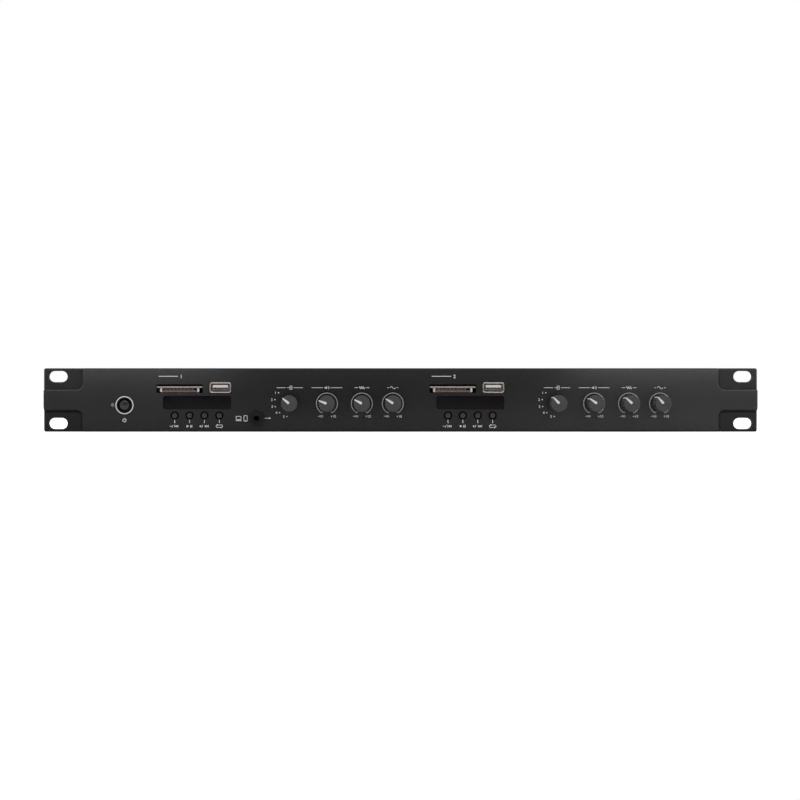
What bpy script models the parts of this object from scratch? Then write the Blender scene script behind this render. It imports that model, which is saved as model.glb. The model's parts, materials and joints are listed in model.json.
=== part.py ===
"""Dual rack media player: a one-unit rack player with two card and USB players and their controls.

The frame: X to the right seen from the front, Y to the back, Z up, in metres. The origin lies on the
ground under the middle of the whole unit. Every piece is built about the middle of the front panel, with
y = 0 on the rack plane, where the back of the rack ears meets the rack.
"""

import math

import bmesh
import bpy

# Fits and cuts
FIT = 0.0003                    # gap left between pieces that seat on each other
OVERRUN = 0.0020                # how far a cutting solid runs past what it cuts
EMBED = 0.0004                  # how far a joined feature sinks into what carries it

# Front panel
PANEL_WIDTH = 0.4826
PANEL_HEIGHT = 0.0430
PANEL_CORNER = 0.0014
PANEL_FLOOR = 0.0022            # thickness of the recessed corners
FACE_STEP = 0.0022              # from the recessed corners up to the face
FACE_WALL = 0.0022              # wall of the hollow centre
EDGE_FILLET = 0.0012
FILLET_CORNER_SHARE = 0.9       # the most that the fillet takes of the panel's corner radius
POCKET_LENGTH = 0.0261          # recessed corner, from the panel's end
BAND_HEIGHT = 0.0148            # raised band between the recessed corners
POCKET_CORNER = 0.0037
SLOT_INSET_X = 0.0097           # slot's middle from the panel's end
SLOT_INSET_Z = 0.005625         # slot's middle from the panel's long edge
SLOT_LENGTH = 0.0127
SLOT_HEIGHT = 0.0075
PANEL_RIM = 0.0022              # wall round the hollow behind the face
HOLLOW_CORNER = 0.0030
RIB_THICKNESS = 0.0020
BOSS_DIAMETER = 0.0050
BOSS_INSET = 0.0060             # screw boss from the panel's long edge
END_BOSS_INSET = 0.0080         # outer screw bosses from the end of the hollow

# Chassis
SHEET = 0.0012
BEND_RADIUS = 0.0008
EAR_LENGTH = 0.0263             # from the chassis side to the panel's end
EAR_MARGIN = 0.0005             # panel standing past the steel ear
CHASSIS_DEPTH = 0.1900
CHASSIS_DROP = 0.0005           # panel's long edges standing past the chassis
COVER_SHEET = 0.0010
LIP_DEPTH = 0.0090
FLANGE_HEIGHT = 0.0120
FLANGE_SETBACK = 0.0120
VENT_LENGTH = 0.0200
VENT_WIDTH = 0.0030
VENT_PITCH = 0.0080
SIDE_VENT_COUNT = 9
TOP_VENT_COUNT = 9
STANDOFF_DIAMETER = 0.0060
STANDOFF_HEIGHT = 0.0050
BOARD_THICKNESS = 0.0016
BOARD_CLEARANCE = 0.0030        # upright boards above the base

# Player: display window
WINDOW_WIDTH = 0.0451
WINDOW_HEIGHT = 0.0085
WINDOW_CORNER = 0.0015
WINDOW_Z = -0.0018
WINDOW_LIP = 0.0007
WINDOW_LIP_THICKNESS = 0.0009
WINDOW_RECESS = 0.0002

# Player: memory card socket
CARD_X = -0.0118
CARD_Z = 0.0076
CARD_CUT_WIDTH = 0.0312
CARD_CUT_HEIGHT = 0.0057
CARD_CUT_CORNER = 0.0004
CARD_PLATE_THICKNESS = 0.0014
CARD_HEAD_GAP = 0.0009          # open gap above the socket's steel top
CARD_BODY_WIDTH = 0.0265
CARD_MOUTH_WIDTH = 0.0242
CARD_FLOOR = 0.0008
CARD_DEPTH = 0.0280
CARD_MOUTH_DEPTH = 0.0245
CARD_RECESS = 0.0004

# Player: USB socket
USB_X = 0.0157
USB_Z = 0.0084
USB_LIP_WIDTH = 0.0145
USB_LIP_HEIGHT = 0.0072
USB_LIP_CHAMFER = 0.0018
USB_LIP_DEPTH = 0.0012
USB_CUT_GAP = 0.0004
USB_WALL = 0.0004
USB_WIDTH = 0.0131
USB_HEIGHT = 0.0057
USB_DEPTH = 0.0150
USB_CHAMFER = 0.0005
TONGUE_WIDTH = 0.0104
TONGUE_THICKNESS = 0.0017
TONGUE_RISE = 0.0009            # tongue's middle above the socket's middle
TONGUE_RECESS = 0.0012
TONGUE_BLOCK_DEPTH = 0.0045

# Player: transport buttons and their board
BUTTON_NAMES = ("previous_button", "play_button", "next_button", "mode_button")
BUTTON_PITCH = 0.01005
BUTTON_Z = -0.0105
BUTTON_DIAMETER = 0.0034
BUTTON_WELL = 0.0053
BUTTON_PROUD = 0.0008
BUTTON_CROWN = 0.0003
BUTTON_FLANGE = 0.0063
BUTTON_FLANGE_THICKNESS = 0.0008
BUTTON_TRAVEL = 0.0004
KEY_SIZE = 0.0060
KEY_DEPTH = 0.0035
PLAYER_BOARD_MARGIN = 0.0060    # board past the card cut-out and past the USB lip
PLAYER_BOARD_DEPTH = 0.0430
PLAYER_WINDOW_MARGIN = 0.0010   # opening in the steel wall past the card cut-out
WALL_OPENING_GAP = 0.0015       # opening in the steel wall past buttons and USB lip
DISPLAY_MARGIN = 0.0006         # display block inside the window's lip
CHIP_SIZE = 0.0120
CHIP_HEIGHT = 0.0014

# Power button, its switch and its lamp
POWER_Z = -0.0035
POWER_CAP = 0.0063
POWER_WELL = 0.0092
POWER_WELL_DEPTH = 0.0020
POWER_PROUD = 0.0014
POWER_DOME = 0.0008
POWER_FLANGE = 0.0080
POWER_FLANGE_THICKNESS = 0.0008
POWER_STEM = 0.0036
POWER_TRAVEL = 0.0025
POWER_STEM_ENGAGEMENT = 0.0050
POWER_SWITCH_WIDTH = 0.0090
POWER_SWITCH_HEIGHT = 0.0110
POWER_SWITCH_DEPTH = 0.0160
POWER_SIDE = 0.0060             # room kept on the right of the power button's axis
LAMP_OFFSET = 0.0080
LAMP_DIAMETER = 0.0030
LAMP_PROUD = 0.0012
LAMP_FLANGE = 0.0039
LAMP_FLANGE_THICKNESS = 0.0009
LAMP_SIDE = 0.0025              # room kept on the left of the lamp's axis

# Auxiliary jack
JACK_RISE = 0.0092              # jack's middle above the panel's long lower edge
JACK_WIDTH = 0.0115
JACK_HEIGHT = 0.0098
JACK_DEPTH = 0.0130
JACK_BUSHING = 0.0056
JACK_BORE = 0.0035
JACK_NUT = 0.0094               # across flats
JACK_NUT_THICKNESS = 0.0020
JACK_REACH = 0.0026             # bushing standing past the face
JACK_TO_SELECTOR = 0.0223

# Rotary controls
KNOB_Z = -0.0024
VOLUME_SPACING = 0.0251
TREBLE_SPACING = 0.0236
BASS_SPACING = 0.0209
KNOB_DIAMETER = 0.0113
KNOB_HEIGHT = 0.0140
KNOB_GAP = 0.0008
KNOB_CHAMFER = 0.0006
KNOB_DRAFT = 0.0003             # how much slimmer the knob's front is, on each side
FLUTE_DEPTH = 0.0005
FLUTE_COUNT = 18
FLUTE_CREST_SHARE = 0.22        # half the crest's width in a flute's pitch
SHAFT_DIAMETER = 0.0060
SHAFT_FLAT = 0.0045             # across the flat
SHAFT_ENGAGEMENT = 0.0090       # in the knob
SHAFT_TAIL = 0.0050             # behind the steel wall
BUSHING_WALL = 0.0009
HOLE_GAP = 0.0003
NUT_ACROSS_FLATS = 0.0110
NUT_THICKNESS = 0.0015
POT_WIDTH = 0.0098
POT_HEIGHT = 0.0120
SELECTOR_WIDTH = 0.0160
SELECTOR_HEIGHT = 0.0160
ROTARY_DEPTH = 0.0090
CONTROL_BOARD_MARGIN = 0.0095   # board past the outer knobs' axes
CONTROL_BOARD_HEIGHT = 0.0280
BOARD_PLUG_WIDTH = 0.0240
BOARD_PLUG_HEIGHT = 0.0060
BOARD_PLUG_DEPTH = 0.0060

# Spare width shared out between the groups, from left to right; the last gap takes the rest
LEFT_GAP_SHARE = 0.200
POWER_GAP_SHARE = 0.120
JACK_GAP_SHARE = 0.014
MIDDLE_GAP_SHARE = 0.118
CONTROLS_GAP_SHARE = 0.195

# Rear connectors, placed across the chassis as shares of its width
XLR_SHARES = (-0.200, -0.115, 0.150, 0.235)
XLR_NAMES = ("xlr_left_1", "xlr_right_1", "xlr_left_2", "xlr_right_2")
PHONO_SHARE = 0.018
INLET_SHARE = -0.430
FLANGE_THICKNESS = 0.0015
XLR_FLANGE_WIDTH = 0.0260
XLR_FLANGE_HEIGHT = 0.0310
XLR_FLANGE_CORNER = 0.0030
XLR_BARREL = 0.0220
XLR_CAVITY = 0.0162
XLR_CAVITY_DEPTH = 0.0150
XLR_DEPTH = 0.0220
XLR_PIN = 0.0024
XLR_PIN_CIRCLE = 0.00915
XLR_PIN_LENGTH = 0.0130
XLR_PIN_ANGLES = (30, 150, 270)
INLET_FLANGE_WIDTH = 0.0310
INLET_FLANGE_HEIGHT = 0.0240
INLET_FLANGE_CORNER = 0.0020
INLET_WIDTH = 0.0276
INLET_HEIGHT = 0.0200
INLET_DEPTH = 0.0200
INLET_CAVITY_WIDTH = 0.0246
INLET_CAVITY_HEIGHT = 0.0168
INLET_CAVITY_CHAMFER = 0.0042
INLET_CAVITY_DEPTH = 0.0170
INLET_PIN_WIDTH = 0.0020
INLET_PIN_HEIGHT = 0.0040
INLET_PIN_LENGTH = 0.0150
INLET_PIN_SPACING = 0.0070
INLET_PIN_RISE = 0.0020
PHONO_PITCH = 0.0140
PHONO_COLLAR = 0.0083
PHONO_BORE = 0.0034
PHONO_BORE_DEPTH = 0.0090
PHONO_REACH = 0.0085
PHONO_DEPTH = 0.0110
PHONO_MARGIN = 0.0025           # block past its sockets' collars
PHONO_BLOCK_CORNER = 0.0010

# Inner boards
BOARD_SIDE_MARGIN = 0.0060
BOARD_GAP = 0.0080
SUPPLY_WIDTH = 0.0700
STANDOFF_INSET = 0.0060
TRANSFORMER_DEPTH = 0.0360
TRANSFORMER_HEIGHT = 0.0230
TRANSFORMER_GAP = 0.0040        # between the transformer and the capacitors
BOARD_PART_MARGIN = 0.0060      # parts in from the board's edge
CAPACITOR_DIAMETER = 0.0120
CAPACITOR_HEIGHT = 0.0180
CAPACITOR_GAP = 0.0120
HEAT_SINK_WIDTH = 0.0300
HEAT_SINK_DEPTH = 0.0100
HEAT_SINK_HEIGHT = 0.0200
LARGE_CHIP_SIZE = 0.0140
HEAT_SINK_SHARE = 0.12          # places along the main board, as shares of its width
LARGE_CHIP_SHARES = (0.42, 0.68)
CAPACITOR_SHARES = (0.28, 0.54, 0.85)

# How finely round shapes are drawn
CORNER_STEPS = 4
FILLET_STEPS = 3
ROUND_SIDES = 16
BARREL_SIDES = 20
HIDDEN_SIDES = 10
PIN_SIDES = 8
HEX_SIDES = 6
VENT_STEPS = 2
COARSE_STEPS = 2
SMOOTH_ANGLE = 32               # edges sharper than this, in degrees, stay sharp in the shading

# Heights and depths that several pieces share, worked out from the sizes above
PANEL_BACK = -(SHEET + FIT)
FLOOR_Y = PANEL_BACK - PANEL_FLOOR
FACE_Y = FLOOR_Y - FACE_STEP
WALL_BACK = FACE_Y + FACE_WALL
FILLET = min(EDGE_FILLET, PANEL_CORNER * FILLET_CORNER_SHARE)
JACK_Z = JACK_RISE - PANEL_HEIGHT / 2
CHASSIS_HALF_HEIGHT = PANEL_HEIGHT / 2 - CHASSIS_DROP
CHASSIS_HALF_WIDTH = PANEL_WIDTH / 2 - EAR_LENGTH
TRAY_HALF_WIDTH = CHASSIS_HALF_WIDTH - COVER_SHEET - FIT
TRAY_TOP = CHASSIS_HALF_HEIGHT - COVER_SHEET - FIT
BASE_TOP = SHEET - CHASSIS_HALF_HEIGHT
REAR_WALL_FRONT = CHASSIS_DEPTH - SHEET
BUTTON_FLANGE_Y = WALL_BACK + FIT
KEY_FRONT = BUTTON_FLANGE_Y + BUTTON_FLANGE_THICKNESS + BUTTON_TRAVEL + FIT
PLAYER_BOARD_Y = KEY_FRONT + KEY_DEPTH
PLAYER_BOARD_TOP = CARD_Z - CARD_CUT_HEIGHT / 2
BUSHING_DIAMETER = SHAFT_DIAMETER + 2 * FIT + 2 * BUSHING_WALL
KNOB_BACK = FACE_Y - KNOB_GAP
KNOB_FRONT = KNOB_BACK - KNOB_HEIGHT
BOARD_BOTTOM = BASE_TOP + STANDOFF_HEIGHT
BOARD_TOP = BOARD_BOTTOM + BOARD_THICKNESS
BOARD_FRONT = PLAYER_BOARD_Y + PLAYER_BOARD_DEPTH + BOARD_GAP
BOARD_BACK = REAR_WALL_FRONT - XLR_DEPTH - BOARD_GAP
REAR_REACH = CHASSIS_DEPTH + max(PHONO_REACH, FLANGE_THICKNESS + FIT)
RACK_PLANE_Y = (-KNOB_FRONT - REAR_REACH) / 2

# Width of each group
PLAYER_HALF_WIDTH = CARD_CUT_WIDTH / 2 - CARD_X + PLAYER_BOARD_MARGIN
POWER_WIDTH = LAMP_SIDE + LAMP_OFFSET + POWER_SIDE
KNOB_SPAN = VOLUME_SPACING + TREBLE_SPACING + BASS_SPACING
CONTROLS_WIDTH = KNOB_SPAN + 2 * CONTROL_BOARD_MARGIN
JACK_SPAN = JACK_WIDTH / 2 + JACK_TO_SELECTOR - CONTROL_BOARD_MARGIN
HOLLOW_HALF_WIDTH = PANEL_WIDTH / 2 - POCKET_LENGTH - PANEL_RIM
SPARE_WIDTH = 2 * HOLLOW_HALF_WIDTH - POWER_WIDTH - JACK_SPAN - 4 * PLAYER_HALF_WIDTH - 2 * CONTROLS_WIDTH

# Axes across the panel, from left to right
LAMP_X = -HOLLOW_HALF_WIDTH + LEFT_GAP_SHARE * SPARE_WIDTH + LAMP_SIDE
POWER_X = LAMP_X + LAMP_OFFSET
PLAYER_1_X = POWER_X + POWER_SIDE + POWER_GAP_SHARE * SPARE_WIDTH + PLAYER_HALF_WIDTH
JACK_X = PLAYER_1_X + PLAYER_HALF_WIDTH + JACK_GAP_SHARE * SPARE_WIDTH + JACK_WIDTH / 2
SELECTOR_1_X = JACK_X + JACK_TO_SELECTOR
PLAYER_2_X = (SELECTOR_1_X + KNOB_SPAN + CONTROL_BOARD_MARGIN + MIDDLE_GAP_SHARE * SPARE_WIDTH
              + PLAYER_HALF_WIDTH)
SELECTOR_2_X = (PLAYER_2_X + PLAYER_HALF_WIDTH + CONTROLS_GAP_SHARE * SPARE_WIDTH
                + CONTROL_BOARD_MARGIN)
PLAYER_XS = (PLAYER_1_X, PLAYER_2_X)
SELECTOR_XS = (SELECTOR_1_X, SELECTOR_2_X)
KNOB_OFFSETS = (0, VOLUME_SPACING, VOLUME_SPACING + TREBLE_SPACING, KNOB_SPAN)
KNOB_NAMES = ("input_select", "master_volume", "treble", "bass")
BUTTON_XS = tuple((index - (len(BUTTON_NAMES) - 1) / 2) * BUTTON_PITCH
                  for index in range(len(BUTTON_NAMES)))

# Where the pointers stand in the photograph, in degrees to the left of straight up
POINTER_ANGLES = ((45, 64, 58, 55), (45, 57, 47.5, 40))


# Outlines, as lists of points in a plane


def arc(centre_a, centre_b, radius, start, end, steps=CORNER_STEPS):
    """Points along an arc between two angles in degrees."""
    points = []
    for step in range(steps + 1):
        angle = math.radians(start + (end - start) * step / steps)
        points.append((centre_a + radius * math.cos(angle), centre_b + radius * math.sin(angle)))
    return points


def circle(radius, sides=ROUND_SIDES, a=0, b=0):
    """Outline of a round bar, its first point turned by half a side."""
    turns = [(index + 0.5) / sides * math.tau for index in range(sides)]
    return [(a + radius * math.cos(turn), b + radius * math.sin(turn)) for turn in turns]


def rectangle(width, height, a=0, b=0):
    """Outline of a plain rectangle about its middle."""
    half_a, half_b = width / 2, height / 2
    return [(a + half_a, b + half_b), (a - half_a, b + half_b),
            (a - half_a, b - half_b), (a + half_a, b - half_b)]


def rounded(width, height, radius, a=0, b=0, steps=CORNER_STEPS):
    """Outline of a rectangle with rounded corners about its middle."""
    half_a, half_b = width / 2 - radius, height / 2 - radius
    points = []
    for side_a, side_b, start in ((1, 1, 0), (-1, 1, 90), (-1, -1, 180), (1, -1, 270)):
        points += arc(a + side_a * half_a, b + side_b * half_b, radius, start, start + 90, steps)
    return points


def slot(length, height, a=0, b=0, steps=2 * CORNER_STEPS):
    """Outline of a slot with round ends, long side along the first direction."""
    reach = (length - height) / 2
    return arc(a + reach, b, height / 2, -90, 90, steps) + arc(a - reach, b, height / 2, 90, 270, steps)


def chamfered(width, height, chamfer, a=0, b=0):
    """Outline of a rectangle with cut corners about its middle."""
    return rounded(width, height, chamfer, a, b, steps=1)


def hexagon(across_flats):
    """Outline of a nut with upright flats at its left and right."""
    return circle(across_flats / 2 / math.cos(math.pi / HEX_SIDES), HEX_SIDES)


# Solids


def loft(rings, closed=False):
    """One closed body through rings of equal point counts, capped at both ends or closed on itself."""
    shape = bmesh.new()
    loops = [[shape.verts.new(point) for point in ring] for ring in rings]
    pairs = list(zip(loops, loops[1:]))
    if closed:
        pairs.append((loops[-1], loops[0]))
    else:
        shape.faces.new(loops[0])
        shape.faces.new(loops[-1])
    for near, far in pairs:
        for index in range(len(near)):
            following = (index + 1) % len(near)
            shape.faces.new((near[index], near[following], far[following], far[index]))
    bmesh.ops.recalc_face_normals(shape, faces=shape.faces)
    mesh = bpy.data.meshes.new("shape")
    shape.to_mesh(mesh)
    shape.free()
    solid = bpy.data.objects.new("shape", mesh)
    bpy.context.scene.collection.objects.link(solid)
    return solid


def stacked(levels, closed=False):
    """Body through outlines in the XZ plane, each at its own depth y."""
    return loft([[(x, y, z) for x, z in outline] for outline, y in levels], closed)


def prism(outline, low, high, axis="Y"):
    """Straight body of one outline along an axis."""
    place = {"X": lambda a, b, run: (run, a, b), "Y": lambda a, b, run: (a, run, b),
             "Z": lambda a, b, run: (a, b, run)}[axis]
    return loft([[place(a, b, run) for a, b in outline] for run in (low, high)])


def block(low, high):
    """Box between two opposite corners."""
    outline = [(high[0], high[2]), (low[0], high[2]), (low[0], low[2]), (high[0], low[2])]
    return prism(outline, low[1], high[1])


def gather(solids):
    """Several bodies that don't touch as one object."""
    shape = bmesh.new()
    for solid in solids:
        shape.from_mesh(solid.data)
    shape.to_mesh(solids[0].data)
    shape.free()
    for solid in solids[1:]:
        bpy.data.objects.remove(solid)
    return solids[0]


def combine(base, tools, operation):
    """Join other bodies to a base or cut them out of it, and keep the result as its mesh."""
    tool = gather(tools)
    modifier = base.modifiers.new("combine", "BOOLEAN")
    modifier.operation = operation
    modifier.solver = "EXACT"
    modifier.object = tool
    evaluated = base.evaluated_get(bpy.context.evaluated_depsgraph_get())
    mesh = bpy.data.meshes.new_from_object(evaluated)
    base.modifiers.clear()
    base.data = mesh
    bpy.data.objects.remove(tool)
    return base


def unite(base, *tools):
    """Join bodies to a base; they may not touch each other."""
    return combine(base, tools, "UNION")


def cut(base, *tools):
    """Cut bodies out of a base; they may not touch each other."""
    return combine(base, tools, "DIFFERENCE")


# Finishes and placing


def finish(name, colour, roughness, metallic=0.0):
    """Principled material of one flat colour, made once."""
    material = bpy.data.materials.get(name)
    if material is None:
        material = bpy.data.materials.new(name)
        material.use_nodes = True
        shader = material.node_tree.nodes["Principled BSDF"]
        shader.inputs["Base Color"].default_value = (*colour, 1.0)
        shader.inputs["Roughness"].default_value = roughness
        shader.inputs["Metallic"].default_value = metallic
    return material


def panel_plastic():
    return finish("panel_plastic", (0.018, 0.018, 0.019), 0.42)


def knob_plastic():
    return finish("knob_plastic", (0.022, 0.022, 0.023), 0.38)


def smoked_acrylic():
    return finish("smoked_acrylic", (0.010, 0.008, 0.011), 0.08)


def painted_steel():
    return finish("painted_steel", (0.016, 0.016, 0.017), 0.50, 0.3)


def bright_steel():
    return finish("bright_steel", (0.62, 0.61, 0.59), 0.28, 1.0)


def black_nylon():
    return finish("black_nylon", (0.020, 0.020, 0.021), 0.50)


def white_nylon():
    return finish("white_nylon", (0.78, 0.78, 0.76), 0.45)


def board_laminate():
    return finish("board_laminate", (0.020, 0.120, 0.050), 0.45)


def lamp_lens():
    return finish("lamp_lens", (0.70, 0.72, 0.74), 0.10)


def empty(name, location, parent=None):
    """Empty that carries a group of pieces."""
    holder = bpy.data.objects.new(name, None)
    holder.location = location
    holder.parent = parent
    bpy.context.scene.collection.objects.link(holder)
    return holder


def place(solid, name, material, parent, location=(0, 0, 0), turn=0.0):
    """Name a body, give it its material and set it in its place, turned about Y by an angle in degrees."""
    solid.name = name
    solid.data.name = name
    solid.data.materials.clear()
    solid.data.materials.append(material)
    solid.data.shade_smooth()
    solid.data.set_sharp_from_angle(angle=math.radians(SMOOTH_ANGLE))
    even_shading(solid)
    solid.parent = parent
    solid.location = location
    solid.rotation_euler = (0, math.radians(turn), 0)
    return solid


def even_shading(solid):
    """Shade each point by its largest faces, so that flat faces beside a fillet look flat."""
    solid.modifiers.new("even_shading", "WEIGHTED_NORMAL").keep_sharp = True


def place_copy(original, name, parent, location=(0, 0, 0), turn=0.0):
    """Place another object that shares an existing piece's mesh."""
    twin = bpy.data.objects.new(name, original.data)
    bpy.context.scene.collection.objects.link(twin)
    even_shading(twin)
    twin.parent = parent
    twin.location = location
    twin.rotation_euler = (0, math.radians(turn), 0)
    return twin


# Front panel


def raised_outline(inset):
    """The raised centre and the band that runs out to both ends, drawn in by an inset."""
    half_width = PANEL_WIDTH / 2 - inset
    half_height = PANEL_HEIGHT / 2 - inset
    band = BAND_HEIGHT / 2 - inset
    centre = PANEL_WIDTH / 2 - POCKET_LENGTH - inset
    outer = PANEL_CORNER - inset
    inner = POCKET_CORNER + inset
    quarter = (arc(half_width - outer, band - outer, outer, 0, 90)
               + arc(centre + inner, band + inner, inner, 270, 180)
               + arc(centre - outer, half_height - outer, outer, 0, 90))
    mirrored = quarter[::-1]
    return (quarter + [(-x, z) for x, z in mirrored] + [(-x, -z) for x, z in quarter]
            + [(x, -z) for x, z in mirrored])


def slab_outline(inset):
    """The whole panel's outline, drawn in by an inset."""
    return rounded(PANEL_WIDTH - 2 * inset, PANEL_HEIGHT - 2 * inset, PANEL_CORNER - inset)


def filleted(outline_at, back, front):
    """Body whose front edge is rounded by the fillet."""
    levels = [(outline_at(0), back)]
    for step in range(FILLET_STEPS + 1):
        angle = math.pi / 2 * step / FILLET_STEPS
        inset = FILLET * (1 - math.cos(angle))
        levels.append((outline_at(inset), front + FILLET * (1 - math.sin(angle))))
    return stacked(levels)


def rack_slots(low, high):
    """Cutters of the four rack slots."""
    x = PANEL_WIDTH / 2 - SLOT_INSET_X
    z = PANEL_HEIGHT / 2 - SLOT_INSET_Z
    return [prism(slot(SLOT_LENGTH, SLOT_HEIGHT, side_x * x, side_z * z), low, high)
            for side_x in (-1, 1) for side_z in (-1, 1)]


def rib_positions():
    """Middles of the ribs behind the face, between the groups."""
    left_1, right_1, left_2, right_2 = [x + side * PLAYER_HALF_WIDTH for x in PLAYER_XS for side in (-1, 1)]
    return [left_1 - RIB_THICKNESS, right_1 - RIB_THICKNESS,
            left_2 - RIB_THICKNESS / 2, right_2 + RIB_THICKNESS]


def hollow_cutter():
    """What is taken out behind the face: a shallow hollow, less its ribs and screw bosses."""
    back = PANEL_BACK + OVERRUN
    height = PANEL_HEIGHT - 2 * PANEL_RIM
    hollow = prism(rounded(2 * HOLLOW_HALF_WIDTH, height, HOLLOW_CORNER), WALL_BACK, back)
    rib_back = back + OVERRUN
    rib_front = WALL_BACK - OVERRUN
    half_rib = RIB_THICKNESS / 2
    cut(hollow, *[block((x - half_rib, rib_front, -height), (x + half_rib, rib_back, height))
                  for x in rib_positions()])
    boss_z = PANEL_HEIGHT / 2 - BOSS_INSET
    boss_xs = rib_positions() + [side * (HOLLOW_HALF_WIDTH - END_BOSS_INSET) for side in (-1, 1)]
    cut(hollow, *[prism(circle(BOSS_DIAMETER / 2, HEX_SIDES, x, side * boss_z), rib_front, rib_back)
                  for x in boss_xs for side in (-1, 1)])
    return hollow


def panel_holes():
    """Cutters of every opening in the face."""
    front = FACE_Y - OVERRUN
    back = PANEL_BACK + OVERRUN
    holes = rack_slots(front, back)
    for x in PLAYER_XS:
        holes.append(prism(rounded(WINDOW_WIDTH + 2 * FIT, WINDOW_HEIGHT + 2 * FIT, WINDOW_CORNER + FIT,
                                   x, WINDOW_Z), front, back))
        holes.append(prism(rounded(CARD_CUT_WIDTH, CARD_CUT_HEIGHT, CARD_CUT_CORNER, x + CARD_X, CARD_Z,
                                   steps=1), front, back))
        holes.append(prism(chamfered(USB_LIP_WIDTH + 2 * USB_CUT_GAP, USB_LIP_HEIGHT + 2 * USB_CUT_GAP,
                                     USB_LIP_CHAMFER + USB_CUT_GAP / 2, x + USB_X, USB_Z), front, back))
        holes += [prism(circle(BUTTON_WELL / 2, ROUND_SIDES, x + offset, BUTTON_Z), front, back)
                  for offset in BUTTON_XS]
    rim, guide = POWER_WELL / 2, POWER_CAP / 2 + FIT
    well = ((rim, front), (rim, FACE_Y), (guide, FACE_Y + POWER_WELL_DEPTH), (guide, back))
    holes.append(stacked([(circle(radius, BARREL_SIDES, POWER_X, POWER_Z), y) for radius, y in well]))
    holes.append(prism(circle(LAMP_DIAMETER / 2 + FIT, ROUND_SIDES, LAMP_X, POWER_Z), front, back))
    holes.append(prism(circle(JACK_BUSHING / 2 + FIT, ROUND_SIDES, JACK_X, JACK_Z), front, back))
    for selector_x in SELECTOR_XS:
        holes += [prism(circle(BUSHING_DIAMETER / 2 + HOLE_GAP, HIDDEN_SIDES, selector_x + offset, KNOB_Z),
                        front, back) for offset in KNOB_OFFSETS]
    return holes


def build_front_panel(centre):
    """Moulded panel: recessed rack corners, filleted raised face, ribbed hollow back and all openings."""
    panel = filleted(slab_outline, PANEL_BACK, FLOOR_Y)
    unite(panel, filleted(raised_outline, PANEL_BACK, FACE_Y))
    cut(panel, hollow_cutter())
    cut(panel, *panel_holes())
    place(panel, "front_panel", panel_plastic(), centre)


# Chassis


def bent_sheet(path, thickness):
    """Outline of a sheet bent leftwards along the path of its inner face, with rounded bends."""
    inner, outer = [], []
    for index, (a, b) in enumerate(path):
        before = path[max(index - 1, 0)]
        after = path[min(index + 1, len(path) - 1)]
        way_in = unit(a - before[0], b - before[1]) if index > 0 else unit(after[0] - a, after[1] - b)
        way_out = unit(after[0] - a, after[1] - b) if index < len(path) - 1 else way_in
        if way_in == way_out:
            inner.append((a, b))
            outer.append((a + way_in[1] * thickness, b - way_in[0] * thickness))
            continue
        centre_a = a + (way_out[0] - way_in[0]) * BEND_RADIUS
        centre_b = b + (way_out[1] - way_in[1]) * BEND_RADIUS
        start = math.degrees(math.atan2(-way_in[0], way_in[1]))
        inner += arc(centre_a, centre_b, BEND_RADIUS, start, start + 90, FILLET_STEPS)
        outer += arc(centre_a, centre_b, BEND_RADIUS + thickness, start, start + 90, FILLET_STEPS)
    return inner + outer[::-1]


def unit(a, b):
    """Direction of a straight run along one of the two axes."""
    length = math.hypot(a, b)
    return round(a / length), round(b / length)


def standoff_places():
    """Where the two inner boards stand, in from their corners."""
    places = []
    for low_x, high_x in (supply_span(), main_span()):
        places += [(x, y) for x in (low_x + STANDOFF_INSET, high_x - STANDOFF_INSET)
                   for y in (BOARD_FRONT + STANDOFF_INSET, BOARD_BACK - STANDOFF_INSET)]
    return places


def supply_span():
    """Left and right edges of the power supply board."""
    left = BOARD_SIDE_MARGIN - TRAY_HALF_WIDTH
    return left, left + SUPPLY_WIDTH


def main_span():
    """Left and right edges of the main board."""
    return supply_span()[1] + BOARD_GAP, TRAY_HALF_WIDTH - BOARD_SIDE_MARGIN


def wall_openings():
    """Cutters of the openings in the steel front wall and the rack ears."""
    front = -SHEET - OVERRUN
    back = SHEET + OVERRUN
    holes = rack_slots(front, back)
    half_width = CARD_CUT_WIDTH / 2 - CARD_X + PLAYER_WINDOW_MARGIN
    low_z = BUTTON_Z - BUTTON_FLANGE / 2 - WALL_OPENING_GAP
    high_z = USB_Z + USB_LIP_HEIGHT / 2 + WALL_OPENING_GAP
    for x in PLAYER_XS:
        holes.append(block((x - half_width, front, low_z), (x + half_width, back, high_z)))
    holes.append(prism(circle(POWER_FLANGE / 2 + 2 * FIT, HIDDEN_SIDES, POWER_X, POWER_Z), front, back))
    holes.append(prism(circle(JACK_BUSHING / 2 + FIT, ROUND_SIDES, JACK_X, JACK_Z), front, back))
    for selector_x in SELECTOR_XS:
        holes += [prism(circle(BUSHING_DIAMETER / 2 + FIT, HIDDEN_SIDES, selector_x + offset, KNOB_Z),
                        front, back) for offset in KNOB_OFFSETS]
    return holes


def player_standoffs():
    """Studs on the back of the front wall that the player boards are screwed to."""
    half_room = (PLAYER_BOARD_MARGIN - PLAYER_WINDOW_MARGIN) / 2
    x_out = PLAYER_HALF_WIDTH - half_room
    radius = half_room - 2 * FIT
    places = [(x + side * x_out, z) for x in PLAYER_XS for side in (-1, 1) for z in (BUTTON_Z, 0)]
    return [prism(circle(radius, HEX_SIDES, x, z), -EMBED, PLAYER_BOARD_Y - FIT) for x, z in places]


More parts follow.
